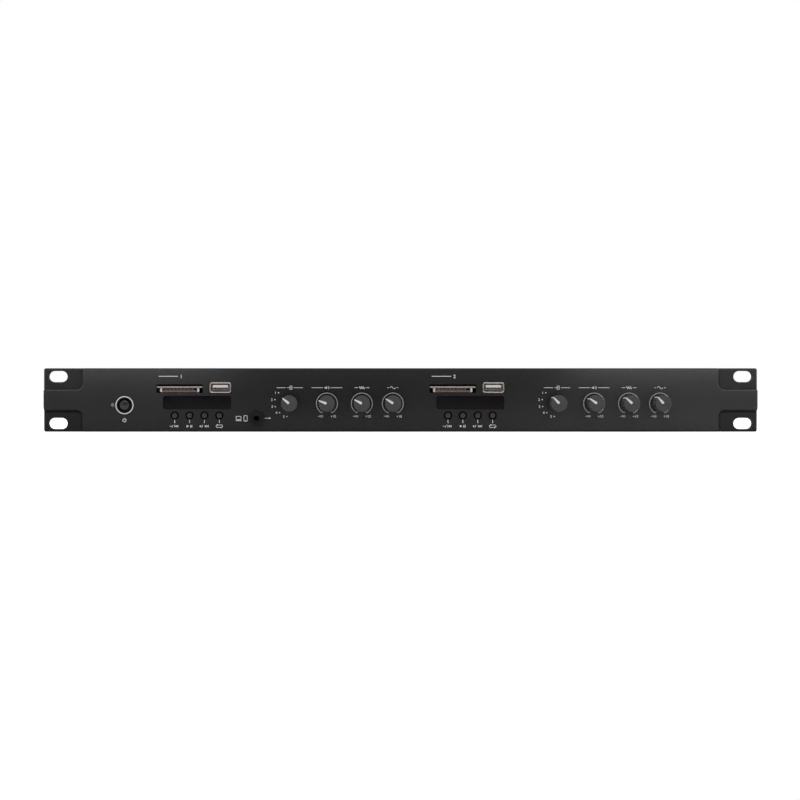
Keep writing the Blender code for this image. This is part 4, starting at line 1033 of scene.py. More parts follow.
def player_holes(number):
    """Cutters of one player's window, sockets and button wells."""
    window, card, usb = f"display_window_{number}", f"card_socket_{number}", f"usb_shell_{number}"
    width, height = [size - 2 * WINDOW_LIP + 2 * FIT for size in extent(window)]
    cutters = [rounded_hole(width, height, WINDOW_CORNER, *middle(window), HOLE_EDGE / 2)]
    x, z = middle(card)
    cutters.append(rounded_hole(CARD_CUT_WIDTH, CARD_CUT_HEIGHT, CARD_CUT_CORNER, x, z + CARD_CUT_RISE))
    width, height = [size + 2 * USB_GAP for size in extent(usb)]
    cutters.append(rounded_hole(width, height, USB_CHAMFER, *middle(usb), steps=EDGE_STEPS))
    for button in BUTTONS:
        cutters.append(round_hole(BUTTON_WELL, *middle(f"{button}_button_{number}"), FACE_Y,
                                  PANEL_BACK + OVERRUN))
    return cutters


def power_holes():
    """Cutters of the dished power well and the lamp's hole."""
    end = PANEL_BACK + OVERRUN
    x, z = middle("power_button")
    guide = POWER_GUIDE / 2 + FIT
    rim = POWER_WELL / 2
    profile = [(rim + HOLE_EDGE, FACE_Y - OVERRUN), (rim + HOLE_EDGE, FACE_Y)]
    for step in range(1, FILLET_STEPS + 1):
        angle = math.pi / 2 * step / FILLET_STEPS
        profile.append((guide + (rim - guide) * math.cos(angle), FACE_Y + POWER_WELL_DEPTH * math.sin(angle)))
    profile.append((guide, end))
    lamp = round_hole(LAMP_DIAMETER + 2 * FIT, *middle("power_led"), FACE_Y, end, HOLE_EDGE / 2)
    return [turned(profile, x, z), lamp]


def inside_opening(face):
    """Whether a face of the panel lies down in one of its openings."""
    x, y, z = face.center
    across = abs(x - MIDDLE_X) < PANEL_WIDTH / 2 - POCKET_LENGTH - PANEL_RIM
    upright = abs(z - MIDDLE_Z) < PANEL_HEIGHT / 2 - PANEL_RIM
    return across and upright and y > FACE_Y + WELL_SHADE_DEPTH


def build_panel():
    """Moulded panel: recessed rack corners, filleted raised face and all openings."""
    panel = filleted(slab_outline, PANEL_BACK, FLOOR_Y)
    unite(panel, filleted(raised_outline, PANEL_BACK, FACE_Y))
    hollow_width = PANEL_WIDTH - 2 * POCKET_LENGTH - 2 * PANEL_RIM
    hollow = rounded(hollow_width, PANEL_HEIGHT - 2 * PANEL_RIM, HOLLOW_CORNER, MIDDLE_X, MIDDLE_Z)
    cut(panel, prism(hollow, WALL_BACK, PANEL_BACK + OVERRUN))
    cutters = rack_slots() + power_holes()
    cutters.append(round_hole(JACK_BUSHING + 2 * FIT, *middle("aux_jack_nut"), FACE_Y, PANEL_BACK + OVERRUN))
    for number in PLAYERS:
        cutters += player_holes(number)
        cutters += [round_hole(KNOB_HOLE, *knob_axis(name, number), FACE_Y, PANEL_BACK + OVERRUN)
                    for name in KNOBS]
    cut(panel, *cutters)
    dress(panel, "front_panel_moulding", panel_plastic, "chassis", "panel", "front_panel")
    paint(panel, pocket_plastic, lambda face: face.normal.y < -NEARLY and abs(face.center.y - FLOOR_Y) < INK)
    paint(panel, well_plastic, inside_opening)
    even_shading(panel)
    lit_by_cards.objects.link(panel)


# Knobs


def flute_radius(angle, crest):
    """Radius of a knob's side: broad crests with a round groove between each two."""
    wave = (1 + math.cos(FLUTE_COUNT * angle)) / 2
    return crest - FLUTE_DEPTH * (1 - wave) ** 2


def knob_ring(inset, y, share=1.0):
    """Ring round a knob at a depth; the share scales its radius."""
    count = FLUTE_COUNT * FLUTE_POINTS
    points = []
    for index in range(count):
        angle = math.tau * index / count
        radius = (flute_radius(angle, KNOB_DIAMETER / 2) - inset) * share
        points.append((radius * math.sin(angle), y, radius * math.cos(angle)))
    return points


def plain_ring(radius, y):
    """Round ring with as many points as a knob's ring."""
    count = FLUTE_COUNT * FLUTE_POINTS
    return [(radius * math.sin(math.tau * index / count), y, radius * math.cos(math.tau * index / count))
            for index in range(count)]


def knob_shape(front, back):
    """Fluted knob with a rounded front edge, a faintly dished face and a bore at its back."""
    shape = bmesh.new()
    bore = KNOB_BORE / 2
    rings = [plain_ring(bore, back - KNOB_BORE_DEPTH), plain_ring(bore, back),
             knob_ring(KNOB_BACK_EDGE, back), knob_ring(0, back - KNOB_BACK_EDGE)]
    for step in range(FILLET_STEPS + 1):
        angle = math.pi / 2 * step / FILLET_STEPS
        inset = KNOB_DRAFT + KNOB_ROUNDING * (1 - math.cos(angle))
        rings.append(knob_ring(inset, front + KNOB_ROUNDING * (1 - math.sin(angle))))
    face = KNOB_DIAMETER / 2 - KNOB_DRAFT - KNOB_ROUNDING - FLUTE_DEPTH
    rings.append(plain_ring(face, front))
    for share in DISH_SHARES:
        rings.append(plain_ring(face * share, front + KNOB_DISH * (1 - share ** 2)))
    skin(shape, rings)
    return thing("knob", shape)


def pointer_shape(front, back):
    """White wedge across the face and the line that runs on down the side."""
    half_wide, half_narrow = POINTER_WIDE / 2, POINTER_NARROW / 2
    crest = KNOB_DIAMETER / 2
    rim = crest - KNOB_DRAFT
    outline = arc(0, half_wide, half_wide, 180, 360) + [(half_narrow, rim), (-half_narrow, rim)]
    face = prism(outline, front - POINTER_RISE, front + KNOB_DISH + POINTER_RISE)
    deep = rim - POINTER_DEPTH
    foot = crest + POINTER_RISE / 2
    profile = [(deep, front + POINTER_RISE), (rim + POINTER_RISE, front + POINTER_RISE),
               (foot, back - KNOB_BACK_EDGE), (deep, back - KNOB_BACK_EDGE)]
    shape = bmesh.new()
    skin(shape, [[(x, y, z) for z, y in profile] for x in (-half_narrow, half_narrow)])
    return gather([face, thing("side", shape)])


def build_knob(name, number, rest_angle):
    """One knob with its pointer, turned to where it stands in the photograph."""
    low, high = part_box(f"{name}_knob_{number}")
    x, z = knob_axis(name, number)
    turn = Matrix.Translation((x, 0, z)) @ Matrix.Rotation(math.radians(-rest_angle), 4, "Y")
    front = low.y + POINTER_RISE
    knob = knob_shape(front, high.y)
    pointer = pointer_shape(front, high.y)
    for piece in (knob, pointer):
        piece.data.transform(turn)
    body = f"{name}_{number}"
    dress(knob, f"{name}_knob_fluted_{number}", knob_plastic, body, "knobs", f"{name}_knob_{number}")
    even_shading(knob)
    dress(pointer, f"{name}_pointer_{number}", pointer_white, body, "white_plastic")


# Players


def bar(low_x, high_x, profile):
    """Body of one outline in the YZ plane from one x to another."""
    shape = bmesh.new()
    skin(shape, [[(x, y, z) for y, z in profile] for x in (low_x, high_x)])
    return thing("bar", shape)


def card_shell(low, high, x):
    """Steel plate over a rounded mouth with thin floor and thicker sides."""
    top = high.z - PLATE_DROP
    plate_z = top - PLATE_THICKNESS / 2
    plate = prism(rounded(high.x - low.x, PLATE_THICKNESS, PLATE_CORNER, x, plate_z,
                          SMALL_CORNER_STEPS), low.y, high.y)
    height = top - PLATE_THICKNESS - low.z
    z = low.z + height / 2
    outer = rounded(MOUTH_WIDTH, height, MOUTH_CORNER, x, z)
    inner = rounded(MOUTH_WIDTH - 2 * MOUTH_SIDE, height - 2 * MOUTH_FLOOR, MOUTH_INNER_CORNER, x, z)
    lip = rounded(MOUTH_WIDTH - MOUTH_SIDE, height - MOUTH_FLOOR, MOUTH_CORNER - MOUTH_EDGE, x, z)
    mouth = stacked([(outer, high.y), (outer, low.y + MOUTH_EDGE), (lip, low.y), (inner, low.y + MOUTH_EDGE),
                     (inner, high.y)], closed=True)
    return gather([plate, mouth]), low.z + MOUTH_FLOOR, low.z + height - MOUTH_FLOOR


def contact_places(x):
    """Middles of the contacts, which sit a little left of the mouth's middle."""
    first = x + CONTACT_OFFSET - CONTACT_PITCH * CONTACT_COUNT / 2
    return [first + CONTACT_PITCH * index for index in range(CONTACT_COUNT)]


def leaning(start, end, foot, head, thickness):
    """Slab from one x to another, between a foot and a head given as y and z, leaning towards the back."""
    return bar(start, end, [foot, head, (head[0] + thickness, head[1]), (foot[0] + thickness, foot[1])])


def card_carrier(front, floor, ceiling, x):
    """Insulator that leans back: whole in its lower half, ribs between the contacts above."""
    half = MOUTH_WIDTH / 2 - MOUTH_SIDE
    levels = enumerate((floor, (floor + ceiling) / 2, ceiling))
    foot, bend, head = [(front + CARRIER_FRONT + CARRIER_SLOPE * step, level) for step, level in levels]
    gaps = [(at - CONTACT_GAP / 2, at + CONTACT_GAP / 2) for at in contact_places(x)]
    gaps.append((x + WIDE_GAP[0], x + WIDE_GAP[1]))
    edges = [x - half] + [edge for gap in gaps for edge in gap] + [x + half]
    ledge = leaning(x - half, x + half, foot, bend, CARRIER_THICKNESS)
    ribs = [leaning(start, end, bend, head, CARRIER_THICKNESS) for start, end in zip(edges[::2], edges[1::2])]
    rear = front + CARD_DEPTH
    back = leaning(x - half, x + half, (rear, floor), (rear, ceiling), CARD_BACK)
    return gather([ledge, back] + ribs)


def card_contacts(front, floor, ceiling, x):
    """Contact springs that lie in the gaps of the carrier and run back to the board."""
    path = [(front + CARRIER_FRONT + CARRIER_SLOPE + CARRIER_THICKNESS, (floor + ceiling) / 2),
            (front + CARRIER_FRONT + 2 * CARRIER_SLOPE + CARRIER_THICKNESS, ceiling - 2 * CONTACT_THICKNESS),
            (front + CARD_DEPTH, floor + CONTACT_THICKNESS)]
    profile = path + [(y, z + CONTACT_THICKNESS) for y, z in reversed(path)]
    return gather([bar(at - CONTACT_WIDTH / 2, at + CONTACT_WIDTH / 2, profile) for at in contact_places(x)])


def build_card_socket(number):
    """Card socket: steel plate and mouth, the contact carrier and its contacts."""
    low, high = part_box(f"card_socket_{number}")
    x = (low.x + high.x) / 2
    shell, floor, ceiling = card_shell(low, high, x)
    dress(shell, f"card_socket_shell_{number}", bright_steel, "chassis", "bright_steel",
          f"card_socket_{number}")
    carrier = card_carrier(low.y, floor, ceiling, x)
    dress(carrier, f"card_carrier_{number}", brown_nylon, "chassis", "black_plastic")
    contacts = card_contacts(low.y, floor, ceiling, x)
    dress(contacts, f"card_contacts_{number}", gold_contact, "chassis", "bright_steel")


def build_usb(number):
    """USB socket: bent shell with flared lips, contacts under its tongue and the insulator behind them."""
    low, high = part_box(f"usb_shell_{number}")
    x, z = middle(f"usb_shell_{number}")
    width, height = high.x - low.x, high.z - low.z

    def ring(inset, corner):
        return rounded(width - 2 * inset, height - 2 * inset, corner, x, z, SMALL_CORNER_STEPS)

    body = rounded(USB_BODY_WIDTH, USB_BODY_HEIGHT, USB_BODY_CORNER, x, z, SMALL_CORNER_STEPS)
    inside = rounded(USB_BODY_WIDTH - 2 * USB_WALL, USB_BODY_HEIGHT - 2 * USB_WALL,
                     USB_BODY_CORNER - USB_WALL / 2, x, z, SMALL_CORNER_STEPS)
    neck = low.y + USB_NECK
    levels = [(body, high.y), (body, neck + USB_WALL), (ring(USB_LIP_EDGE, USB_LIP_CORNER), low.y + USB_WALL),
              (ring(0, USB_LIP_CORNER), low.y + USB_LIP_EDGE), (ring(USB_LIP_EDGE, USB_LIP_CORNER), low.y),
              (ring(USB_WALL, USB_LIP_CORNER - USB_WALL / 2), low.y),
              (ring(USB_WALL + USB_LIP_EDGE, USB_LIP_CORNER - USB_WALL / 2), low.y + USB_LIP_EDGE),
              (inside, neck), (inside, high.y)]
    dress(stacked(levels, closed=True), f"usb_shell_bent_{number}", bright_steel, "chassis", "bright_steel",
          f"usb_shell_{number}")
    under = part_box(f"usb_tongue_{number}")[0].z
    blade = z + USB_TONGUE_RISE - USB_TONGUE_THICKNESS / 2
    half = USB_CONTACT_WIDTH / 2
    start, end = low.y + USB_CONTACT_START, low.y + USB_CONTACT_END
    contacts = gather([block((x + offset - half, start, blade - USB_CONTACT_HEIGHT),
                             (x + offset + half, end, blade)) for offset in USB_CONTACTS])
    soften(contacts, CONTACT_EDGE)
    # The contacts under the tongue are coloured near-black as painted shade.
    dress(contacts, f"usb_contacts_{number}", dark_contact, "chassis", "bright_steel")
    back = block((x - USB_BODY_WIDTH / 2 + USB_WALL, low.y + USB_BACK, under),
                 (x + USB_BODY_WIDTH / 2 - USB_WALL, low.y + USB_BACK + USB_WALL, blade))
    dress(back, f"usb_insulator_{number}", grey_nylon, "chassis", "black_plastic")


def cap_profile(front):
    """Profile of a push button's cap, from the middle of its front to its side."""
    profile = [(CAP_RADIUS * share, front + CAP_CROWN * CROWN_RISE_SHARE * share ** 2)
               for share in CROWN_SHARES]
    for step in range(CROWN_STEPS + 1):
        angle = math.pi / 2 * step / CROWN_STEPS
        profile.append((CAP_RADIUS - CAP_CROWN + CAP_CROWN * math.sin(angle),
                        front + CAP_CROWN * (CROWN_RISE_SHARE + 1 - math.cos(angle))))
    return profile


def build_transport_buttons(number):
    """Four push buttons with rounded caps, and flanges that keep them behind the face."""
    for name in BUTTONS:
        node = f"{name}_button_{number}"
        low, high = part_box(node)
        x, z = middle(node)
        shelf = WALL_BACK + FIT
        flange = (high.x - low.x) / 2
        profile = cap_profile(low.y) + [(CAP_RADIUS, shelf), (flange, shelf), (flange, high.y)]
        button = turned(profile, x, z, SMALL_SIDES)
        dress(button, f"{name}_cap_{number}", button_plastic, node, "knobs", node)
        # The cap's side and flange, down in the well, take the well's near-black as painted shade.
        paint(button, well_plastic, lambda face: face.center.y > low.y + 2 * CAP_CROWN)


def build_players():
    """Sockets and buttons of both players."""
    for number in PLAYERS:
        build_card_socket(number)
        build_usb(number)
        build_transport_buttons(number)


# Power button, lamp and jack


def dome(radius, rise, front):
    """Profile of a round dome, from the middle of its front to its foot."""
    turns = [math.pi / 2 * (step + 0.5) / DOME_STEPS for step in range(DOME_STEPS)]
    return [(radius * math.sin(turn), front + rise * (1 - math.cos(turn))) for turn in turns]


def build_power():
    """Domed power button and the smoked lamp at its left."""
    shelf = WALL_BACK + FIT
    low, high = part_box("power_button")
    x, z = middle("power_button")
    cap, flange, stem = POWER_CAP / 2, POWER_FLANGE / 2, POWER_STEM / 2
    profile = dome(cap, POWER_DOME, low.y)
    flange_back = shelf + POWER_FLANGE_THICKNESS
    profile += [(cap, low.y + POWER_DOME + POWER_SKIRT), (cap, shelf), (flange, shelf),
                (flange, flange_back), (stem, flange_back), (stem, high.y)]
    dress(turned(profile, x, z), "power_button_cap", gloss_plastic, "power_button", "knobs", "power_button")

    low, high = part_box("power_led")
    x, z = middle("power_led")
    lens, flange = LAMP_DIAMETER / 2, (high.x - low.x) / 2
    profile = dome(lens, lens, low.y) + [(lens, shelf), (flange, shelf), (flange, high.y)]
    dress(turned(profile, x, z, SMALL_SIDES), "power_led_lens", clear_lens, "chassis", "lamp", "power_led")


def build_nut():
    """Hexagonal nut with a chamfered front."""
    low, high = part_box("aux_jack_nut")
    x, z = middle("aux_jack_nut")
    flat = (high.x - low.x) / 2
    corner = flat / math.cos(math.pi / 6)
    nut = prism(circle(corner, x, z, HEX_SIDES), low.y, high.y)
    cut(nut, prism(circle(JACK_BUSHING / 2 + FIT / 2, x, z), low.y - OVERRUN, high.y + OVERRUN))
    wide = corner + NUT_CHAMFER
    dish = turned([(flat - NUT_EDGE, low.y - INK), (wide, low.y + NUT_CHAMFER), (wide, high.y + INK)], x, z)
    combine(nut, [dish], "INTERSECT")
    dress(nut, "aux_jack_nut_chamfered", black_nylon, "chassis", "black_plastic", "aux_jack_nut")
    soften(nut, NUT_EDGE)
    return low.y


def build_jack():
    """Threaded bushing with its round lip and bore, on the case behind the panel."""
    nut_front = build_nut()
    low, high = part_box("aux_jack")
    x, z = middle("aux_jack_nut")
    radius, bore, collar = JACK_BUSHING / 2, JACK_BORE / 2, JACK_COLLAR / 2
    profile = [(bore, high.y - OVERRUN), (bore, low.y + JACK_LIP),
               (bore + JACK_LIP_ROUNDING, low.y + JACK_LIP_ROUNDING),
               (bore + JACK_LIP, low.y), (radius - JACK_EDGE, low.y), (radius, low.y + JACK_EDGE)]
    thread = low.y + JACK_EDGE + THREAD_PITCH / 2
    while thread < nut_front + THREAD_PITCH:
        profile += [(radius - THREAD_DEPTH, thread), (radius, thread + THREAD_PITCH / 2)]
        thread += THREAD_PITCH
    seat = PANEL_BACK + JACK_SETBACK
    profile += [(radius, seat), (collar, seat), (collar, high.y)]
    case = block((low.x, seat, low.z), (high.x, high.y, high.z))
    cut(case, prism(circle(bore, x, z), seat - OVERRUN, high.y - OVERRUN))
    unite(case, turned(profile, x, z))
    dress(case, "aux_jack_body", black_nylon, "chassis", "black_plastic", "aux_jack")


# Symbols printed on the face


class Print:
    """Flat symbols gathered into one thin piece on the face."""

    def __init__(self, x, z):
        self.shape = bmesh.new()
        self.x = x
        self.z = z
        self.top = FACE_Y - INK

    def put(self, points, y):
        """Points of the print at a depth."""
        return [(self.x + a, y, self.z + b) for a, b in points]

    def next_layer(self):
        """Each mark lies a little over the one before, so that no two share a face."""
        self.top -= INK_STEP

    def fill(self, outline):
        """Filled outline."""
        self.next_layer()
        skin(self.shape, [self.put(outline, y) for y in (self.top, FACE_Y + INK)])

    def line(self, points, width, closed=False):
        """Line of an even width along points, with square ends."""
        self.next_layer()
        count = len(points)
        rings = []
        for index, (a, b) in enumerate(points):
            before = points[index - 1] if index > 0 or closed else points[index]
            after = points[(index + 1) % count] if index < count - 1 or closed else points[index]
            along = Vector((after[0] - before[0], after[1] - before[1])).normalized()
            side = Vector((-along.y, along.x)) * width / 2
            if 0 < index < count - 1 or closed:
                step = Vector((a - before[0], b - before[1])).normalized()
                side /= max(abs(along.dot(step)), MITRE_LIMIT)
            near = (a + side.x, b + side.y)
            far = (a - side.x, b - side.y)
            rings.append(self.put([near, far], self.top) + self.put([far, near], FACE_Y + INK))
        skin(self.shape, rings, closed)

    def numeral(self, text, height, a, b):
        """A numeral or sign centred on a place."""
        curve = bpy.data.curves.new("numeral", "FONT")
        curve.body = text
        curve.size = height / DIGIT_HEIGHT_SHARE
        curve.align_x = "CENTER"
        curve.offset = height * DIGIT_WEIGHT_SHARE
        curve.extrude = INK
        holder = bpy.data.objects.new("numeral", curve)
        bpy.context.scene.collection.objects.link(holder)
        evaluated = holder.evaluated_get(bpy.context.evaluated_depsgraph_get())
        mesh = bpy.data.meshes.new_from_object(evaluated)
        spot = Matrix.Translation((self.x + a, FACE_Y, self.z + b - height / 2))
        mesh.transform(spot @ Matrix.Rotation(math.radians(90), 4, "X"))
        self.shape.from_mesh(mesh)
        bpy.data.objects.remove(holder)

    def finish(self, name, ink):
        """Make the print one piece."""
        dress(thing(name, self.shape), name, ink, "chassis", "white_plastic")


def triangle(a, b, width, height, side):
    """Triangle pointing left or right about a place."""
    foot = a - side * width / 2
    return [(foot, b + height / 2), (foot, b - height / 2), (a + side * width / 2, b)]


def skip_symbol(marks, a, b, height, side):
    """Skip sign: two triangles against a bar."""
    width = height * SKIP_WIDTH_SHARE
    bar_width = height * SKIP_BAR_SHARE
    for index in (0, 1):
        marks.fill(triangle(a + side * (index - 0.5) * width, b, width, height, side))
    marks.fill(rectangle(bar_width, height, a + side * (width + bar_width), b))


def skip_marks(marks, x, side):
    """Minus or plus, a slash, and the skip sign."""
    marks.fill(rectangle(MINUS_LENGTH, HAIRLINE, x + MINUS_OFFSET, SIGN_Z))
    if side > 0:
        marks.fill(rectangle(HAIRLINE, MINUS_LENGTH, x + MINUS_OFFSET, SIGN_Z))
    half = SIGN_HEIGHT / 2
    marks.line([(x + SLASH_START, SIGN_Z - half), (x + SLASH_END, SIGN_Z + half)], HAIRLINE)
    skip_symbol(marks, x + SKIP_OFFSET, SIGN_Z, SIGN_HEIGHT, side)


def play_marks(marks, x):
    """Play and pause."""
    marks.fill(triangle(x + PLAY_OFFSET, SIGN_Z, PLAY_WIDTH, SIGN_HEIGHT, 1))
    for offset in PAUSE_OFFSETS:
        marks.fill(rectangle(PAUSE_WIDTH, SIGN_HEIGHT, x + offset, SIGN_Z))


def repeat_marks(marks, x):
    """Two half loops, each with an arrowhead on its end."""
    radius = SIGN_HEIGHT / 2
    end = LOOP_LENGTH / 2 - radius
    for side in SIDES:
        bend = [(x + side * a, SIGN_Z - side * b) for a, b in arc(end, 0, radius, -90, 90)]
        marks.line([(x - side * LOOP_BREAK, SIGN_Z + side * radius)] + bend[:-1]
                   + [(x + side * (LOOP_BREAK + LOOP_HEAD), SIGN_Z - side * radius)], HAIRLINE)
        marks.fill(triangle(x + side * (LOOP_BREAK + LOOP_HEAD / 2), SIGN_Z - side * radius,
                            LOOP_HEAD, LOOP_HEAD, -side))


def print_player(number):
    """Numeral with its rule, and the ticks and signs under the four buttons."""
    window_x, _ = middle(f"display_window_{number}")
    marks = Print(window_x, MIDDLE_Z)
    marks.numeral(str(number), PLAYER_NUMERAL, PLAYER_NUMERAL_X, PLAYER_NUMERAL_Z)
    marks.fill(rectangle(PLAYER_RULE, FINE_LINE, PLAYER_RULE_X, PLAYER_NUMERAL_Z))
    for name in BUTTONS:
        x = middle(f"{name}_button_{number}")[0] - window_x
        marks.fill(rectangle(FINE_LINE, BUTTON_TICK, x, BUTTON_TICK_Z))
        if name == "play":
            play_marks(marks, x)
        elif name == "mode":
            repeat_marks(marks, x)
        else:
            skip_marks(marks, x, 1 if name == "next" else -1)
    marks.finish(f"player_symbols_{number}", ink_white)


def header(marks, x, z, rule, icon):
    """Sign between two short rules, where a control is marked."""
    icon(marks, x, z)
    for side in SIDES:
        marks.fill(rectangle(rule, HAIRLINE, x + side * (rule / 2 + HEADER_GAP), z))


def input_icon(marks, x, z):
    """Arrow into a bracket."""
    left, right, half = BRACKET
    corners = ((left, half), (right, half), (right, -half), (left, -half))
    marks.line([(x + a, z + b) for a, b in corners], HAIRLINE)
    marks.line([(x + end, z) for end in BRACKET_ARROW], HAIRLINE)
    at, *size = BRACKET_HEAD
    marks.fill(triangle(x + at, z, *size, 1))


def volume_icon(marks, x, z):
    """Loudspeaker with two waves."""
    back, neck, front = SPEAKER_XS
    small, large = SPEAKER_RISES
    marks.fill([(x + a, z + b) for a, b in ((back, small), (back, -small), (neck, -small), (front, -large),
                                            (front, large), (neck, small))])
    for radius in SOUND_RADII:
        marks.line(arc(x, z, radius, -SOUND_ANGLE, SOUND_ANGLE, SOUND_STEPS), HAIRLINE * SOUND_LINE_SHARE)


def wave_icon(periods):
    """Sine wave with a number of periods."""
    def draw(marks, x, z):
        count = WAVE_STEPS * periods
        shares = [step / count for step in range(count + 1)]
        marks.line([(x + WAVE_LENGTH * (share - 1 / 2), z + WAVE_RISE * math.sin(math.tau * periods * share))
                    for share in shares], HAIRLINE)
    return draw


def infinity(marks, x, z):
    """Lying eight, drawn as its two loops."""
    for side in SIDES:
        points = []
        for step in range(1, LOOP_STEPS):
            angle = -math.pi / 2 + math.pi * step / LOOP_STEPS
            scale = INFINITY_REACH / (1 + math.sin(angle) ** 2)
            points.append((x + side * scale * math.cos(angle),
                           z + scale * math.sin(angle) * math.cos(angle) * INFINITY_RISE_SHARE))
        marks.line([(x, z)] + points + [(x, z)], THIN_LINE)


def level_scale(marks, rings, x, z):
    """Arc with its two end ticks round a level knob, and the signs at its ends."""
    rings.line(arc(x, 0, SCALE_RADIUS, 90 - SCALE_HALF_ANGLE, 90 + SCALE_HALF_ANGLE, SCALE_STEPS),
               SCALE_LINE)
    turn = math.radians(SCALE_HALF_ANGLE)
    for side in SIDES:
        foot = [(x + side * radius * math.sin(turn), radius * math.cos(turn))
                for radius in (SCALE_RADIUS - SCALE_LINE / 2, SCALE_RADIUS - SCALE_TICK)]
        rings.line(foot, HAIRLINE)
    marks.fill(rectangle(SHORT_MINUS, THIN_LINE, x + MINUS_X, z))
    infinity(marks, x + INFINITY_X, z)
    marks.numeral("+10", SMALL_NUMERAL, x + PLUS_TEN_X, z)


def print_controls(number):
    """Headers over the knobs, the selector's numbered dots and the level knobs' scales."""
    x0, z0 = knob_axis("input_select", number)
    marks = Print(x0, z0)
    rings = Print(x0, z0)
    icons = (input_icon, volume_icon, wave_icon(3), wave_icon(1))
    for name, rule, icon in zip(KNOBS, HEADER_RULES, icons):
        x = knob_axis(name, number)[0] - x0
        header(marks, x, MIDDLE_Z + HEADER_Z - z0, rule, icon)
        if name != "input_select":
            level_scale(marks, rings, x, MIDDLE_Z + SCALE_MARK_Z - z0)
    for index, (radius, turn) in enumerate(DOTS):
        dot = (-radius * math.sin(math.radians(turn)), radius * math.cos(math.radians(turn)))
        marks.fill(circle(DOT_RADIUS, *dot, DOT_SIDES))
        marks.numeral(str(index + 1), SMALL_NUMERAL, dot[0] + DOT_NUMERAL_X, dot[1])
    marks.finish(f"control_symbols_{number}", ink_white)
    rings.finish(f"level_scales_{number}", ink_grey)


def print_power():
    """Light ring round the power well and the standby sign under it."""
    x, z = middle("power_button")
    ring = Print(x, z)
    ring.line(circle(POWER_RING, sides=RING_SIDES), POWER_RING_LINE, closed=True)
    ring.finish("power_ring", ink_white)
    marks = Print(x, MIDDLE_Z)
    marks.line(arc(0, STANDBY_Z, STANDBY_RADIUS, *STANDBY_ANGLES, STANDBY_STEPS), FINE_LINE)
    marks.fill(rectangle(FINE_LINE, STANDBY_BAR, 0, STANDBY_Z + STANDBY_RADIUS * STANDBY_BAR_SHARE))
    marks.finish("power_symbol", ink_white)


def print_aux():
    """Computer and telephone beside the jack, and the arrow to the selector's fifth place."""
    x, z = middle("aux_jack_nut")
    marks = Print(x, z)
    a, b, width, height = LAPTOP
    marks.line(rounded(width, height, HAIRLINE, a, b, TINY_CORNER_STEPS), HAIRLINE, closed=True)
    marks.fill(rectangle(LAPTOP_BASE[1], FINE_LINE, a, LAPTOP_BASE[0]))
    a, b, width, height = PHONE
    marks.line(rounded(width, height, HAIRLINE, a, b, TINY_CORNER_STEPS), HAIRLINE, closed=True)
    marks.fill(rectangle(PHONE_KEY[1], THIN_LINE, a, PHONE_KEY[0]))
    marks.fill(rectangle(ARROW_END - ARROW_START, HAIRLINE, (ARROW_START + ARROW_END) / 2, 0))
    marks.fill(triangle(ARROW_END + ARROW_HEAD[0] / 2, 0, *ARROW_HEAD, 1))
    marks.finish("aux_symbols", ink_white)


# Screws


def level_ring(radius, z, sides=SMALL_SIDES):
    """Ring of points round the Z axis at a height."""
    turns = [math.tau * index / sides for index in range(sides)]
    return [(radius * math.cos(turn), radius * math.sin(turn), z) for turn in turns]


def screw_head(diameter, height):
    """Domed head with a cross recess, its seat at the origin and its top towards +Z."""
    radius = diameter / 2
    rings = [level_ring(radius, 0)]
    for share in HEAD_SHARES:
        wide = radius * math.sqrt(1 - (share * HEAD_DOME_SHARE) ** 2) + radius * HEAD_RIM_SHARE
        rings.append(level_ring(wide, height * share))
    shape = bmesh.new()
    skin(shape, rings)
    head = thing("head", shape)
    arm, reach = diameter * CROSS_WIDTH_SHARE / 2, diameter * CROSS_LENGTH_SHARE / 2
    floor, above = height * (1 - CROSS_DEPTH_SHARE), height + OVERRUN
    for a, b in ((arm, reach), (reach, arm)):
        cut(head, block((-a, -b, floor), (a, b, above)))
    return head


def add_screws(name, diameter, height, places, towards):
    """Screws at places, their heads facing one way and each turned a little further."""
    facing = Vector(towards).to_track_quat("Z", "Y").to_matrix().to_4x4()
    screws = [screw_head(diameter, height)]
    screws += [screws[0].copy() for _ in places[1:]]
    for index, (screw, place) in enumerate(zip(screws, places)):
        if index:
            screw.data = screws[0].data.copy()
            bpy.context.scene.collection.objects.link(screw)
        spin = Matrix.Rotation(math.radians(SCREW_TURN * index), 4, "Z")
        screw.matrix_basis = Matrix.Translation(place) @ facing @ spin
    dress(gather(screws), name, black_screw, "chassis", "black_plastic")


def add_case_screws():
    """Screws in the cover's sides and along the top of the rear wall."""
    low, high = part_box("top_cover")
    depth = high.y - low.y
    level = high.z - COVER_SCREW_DROP
    for side, x, name in ((-1, low.x, "left_side_screws"), (1, high.x, "right_side_screws")):
        places = [(x, low.y + depth * share, level) for share in COVER_SCREW_SHARES]
        add_screws(name, SCREW_DIAMETER, SCREW_HEIGHT, places, (side, 0, 0))
    width = high.x - low.x
    places = [(MIDDLE_X + width * share, high.y, high.z - REAR_SCREW_DROP) for share in REAR_SCREW_SHARES]
    add_screws("rear_wall_screws", SMALL_SCREW_DIAMETER, SMALL_SCREW_HEIGHT, places, (0, 1, 0))


# Rear sockets


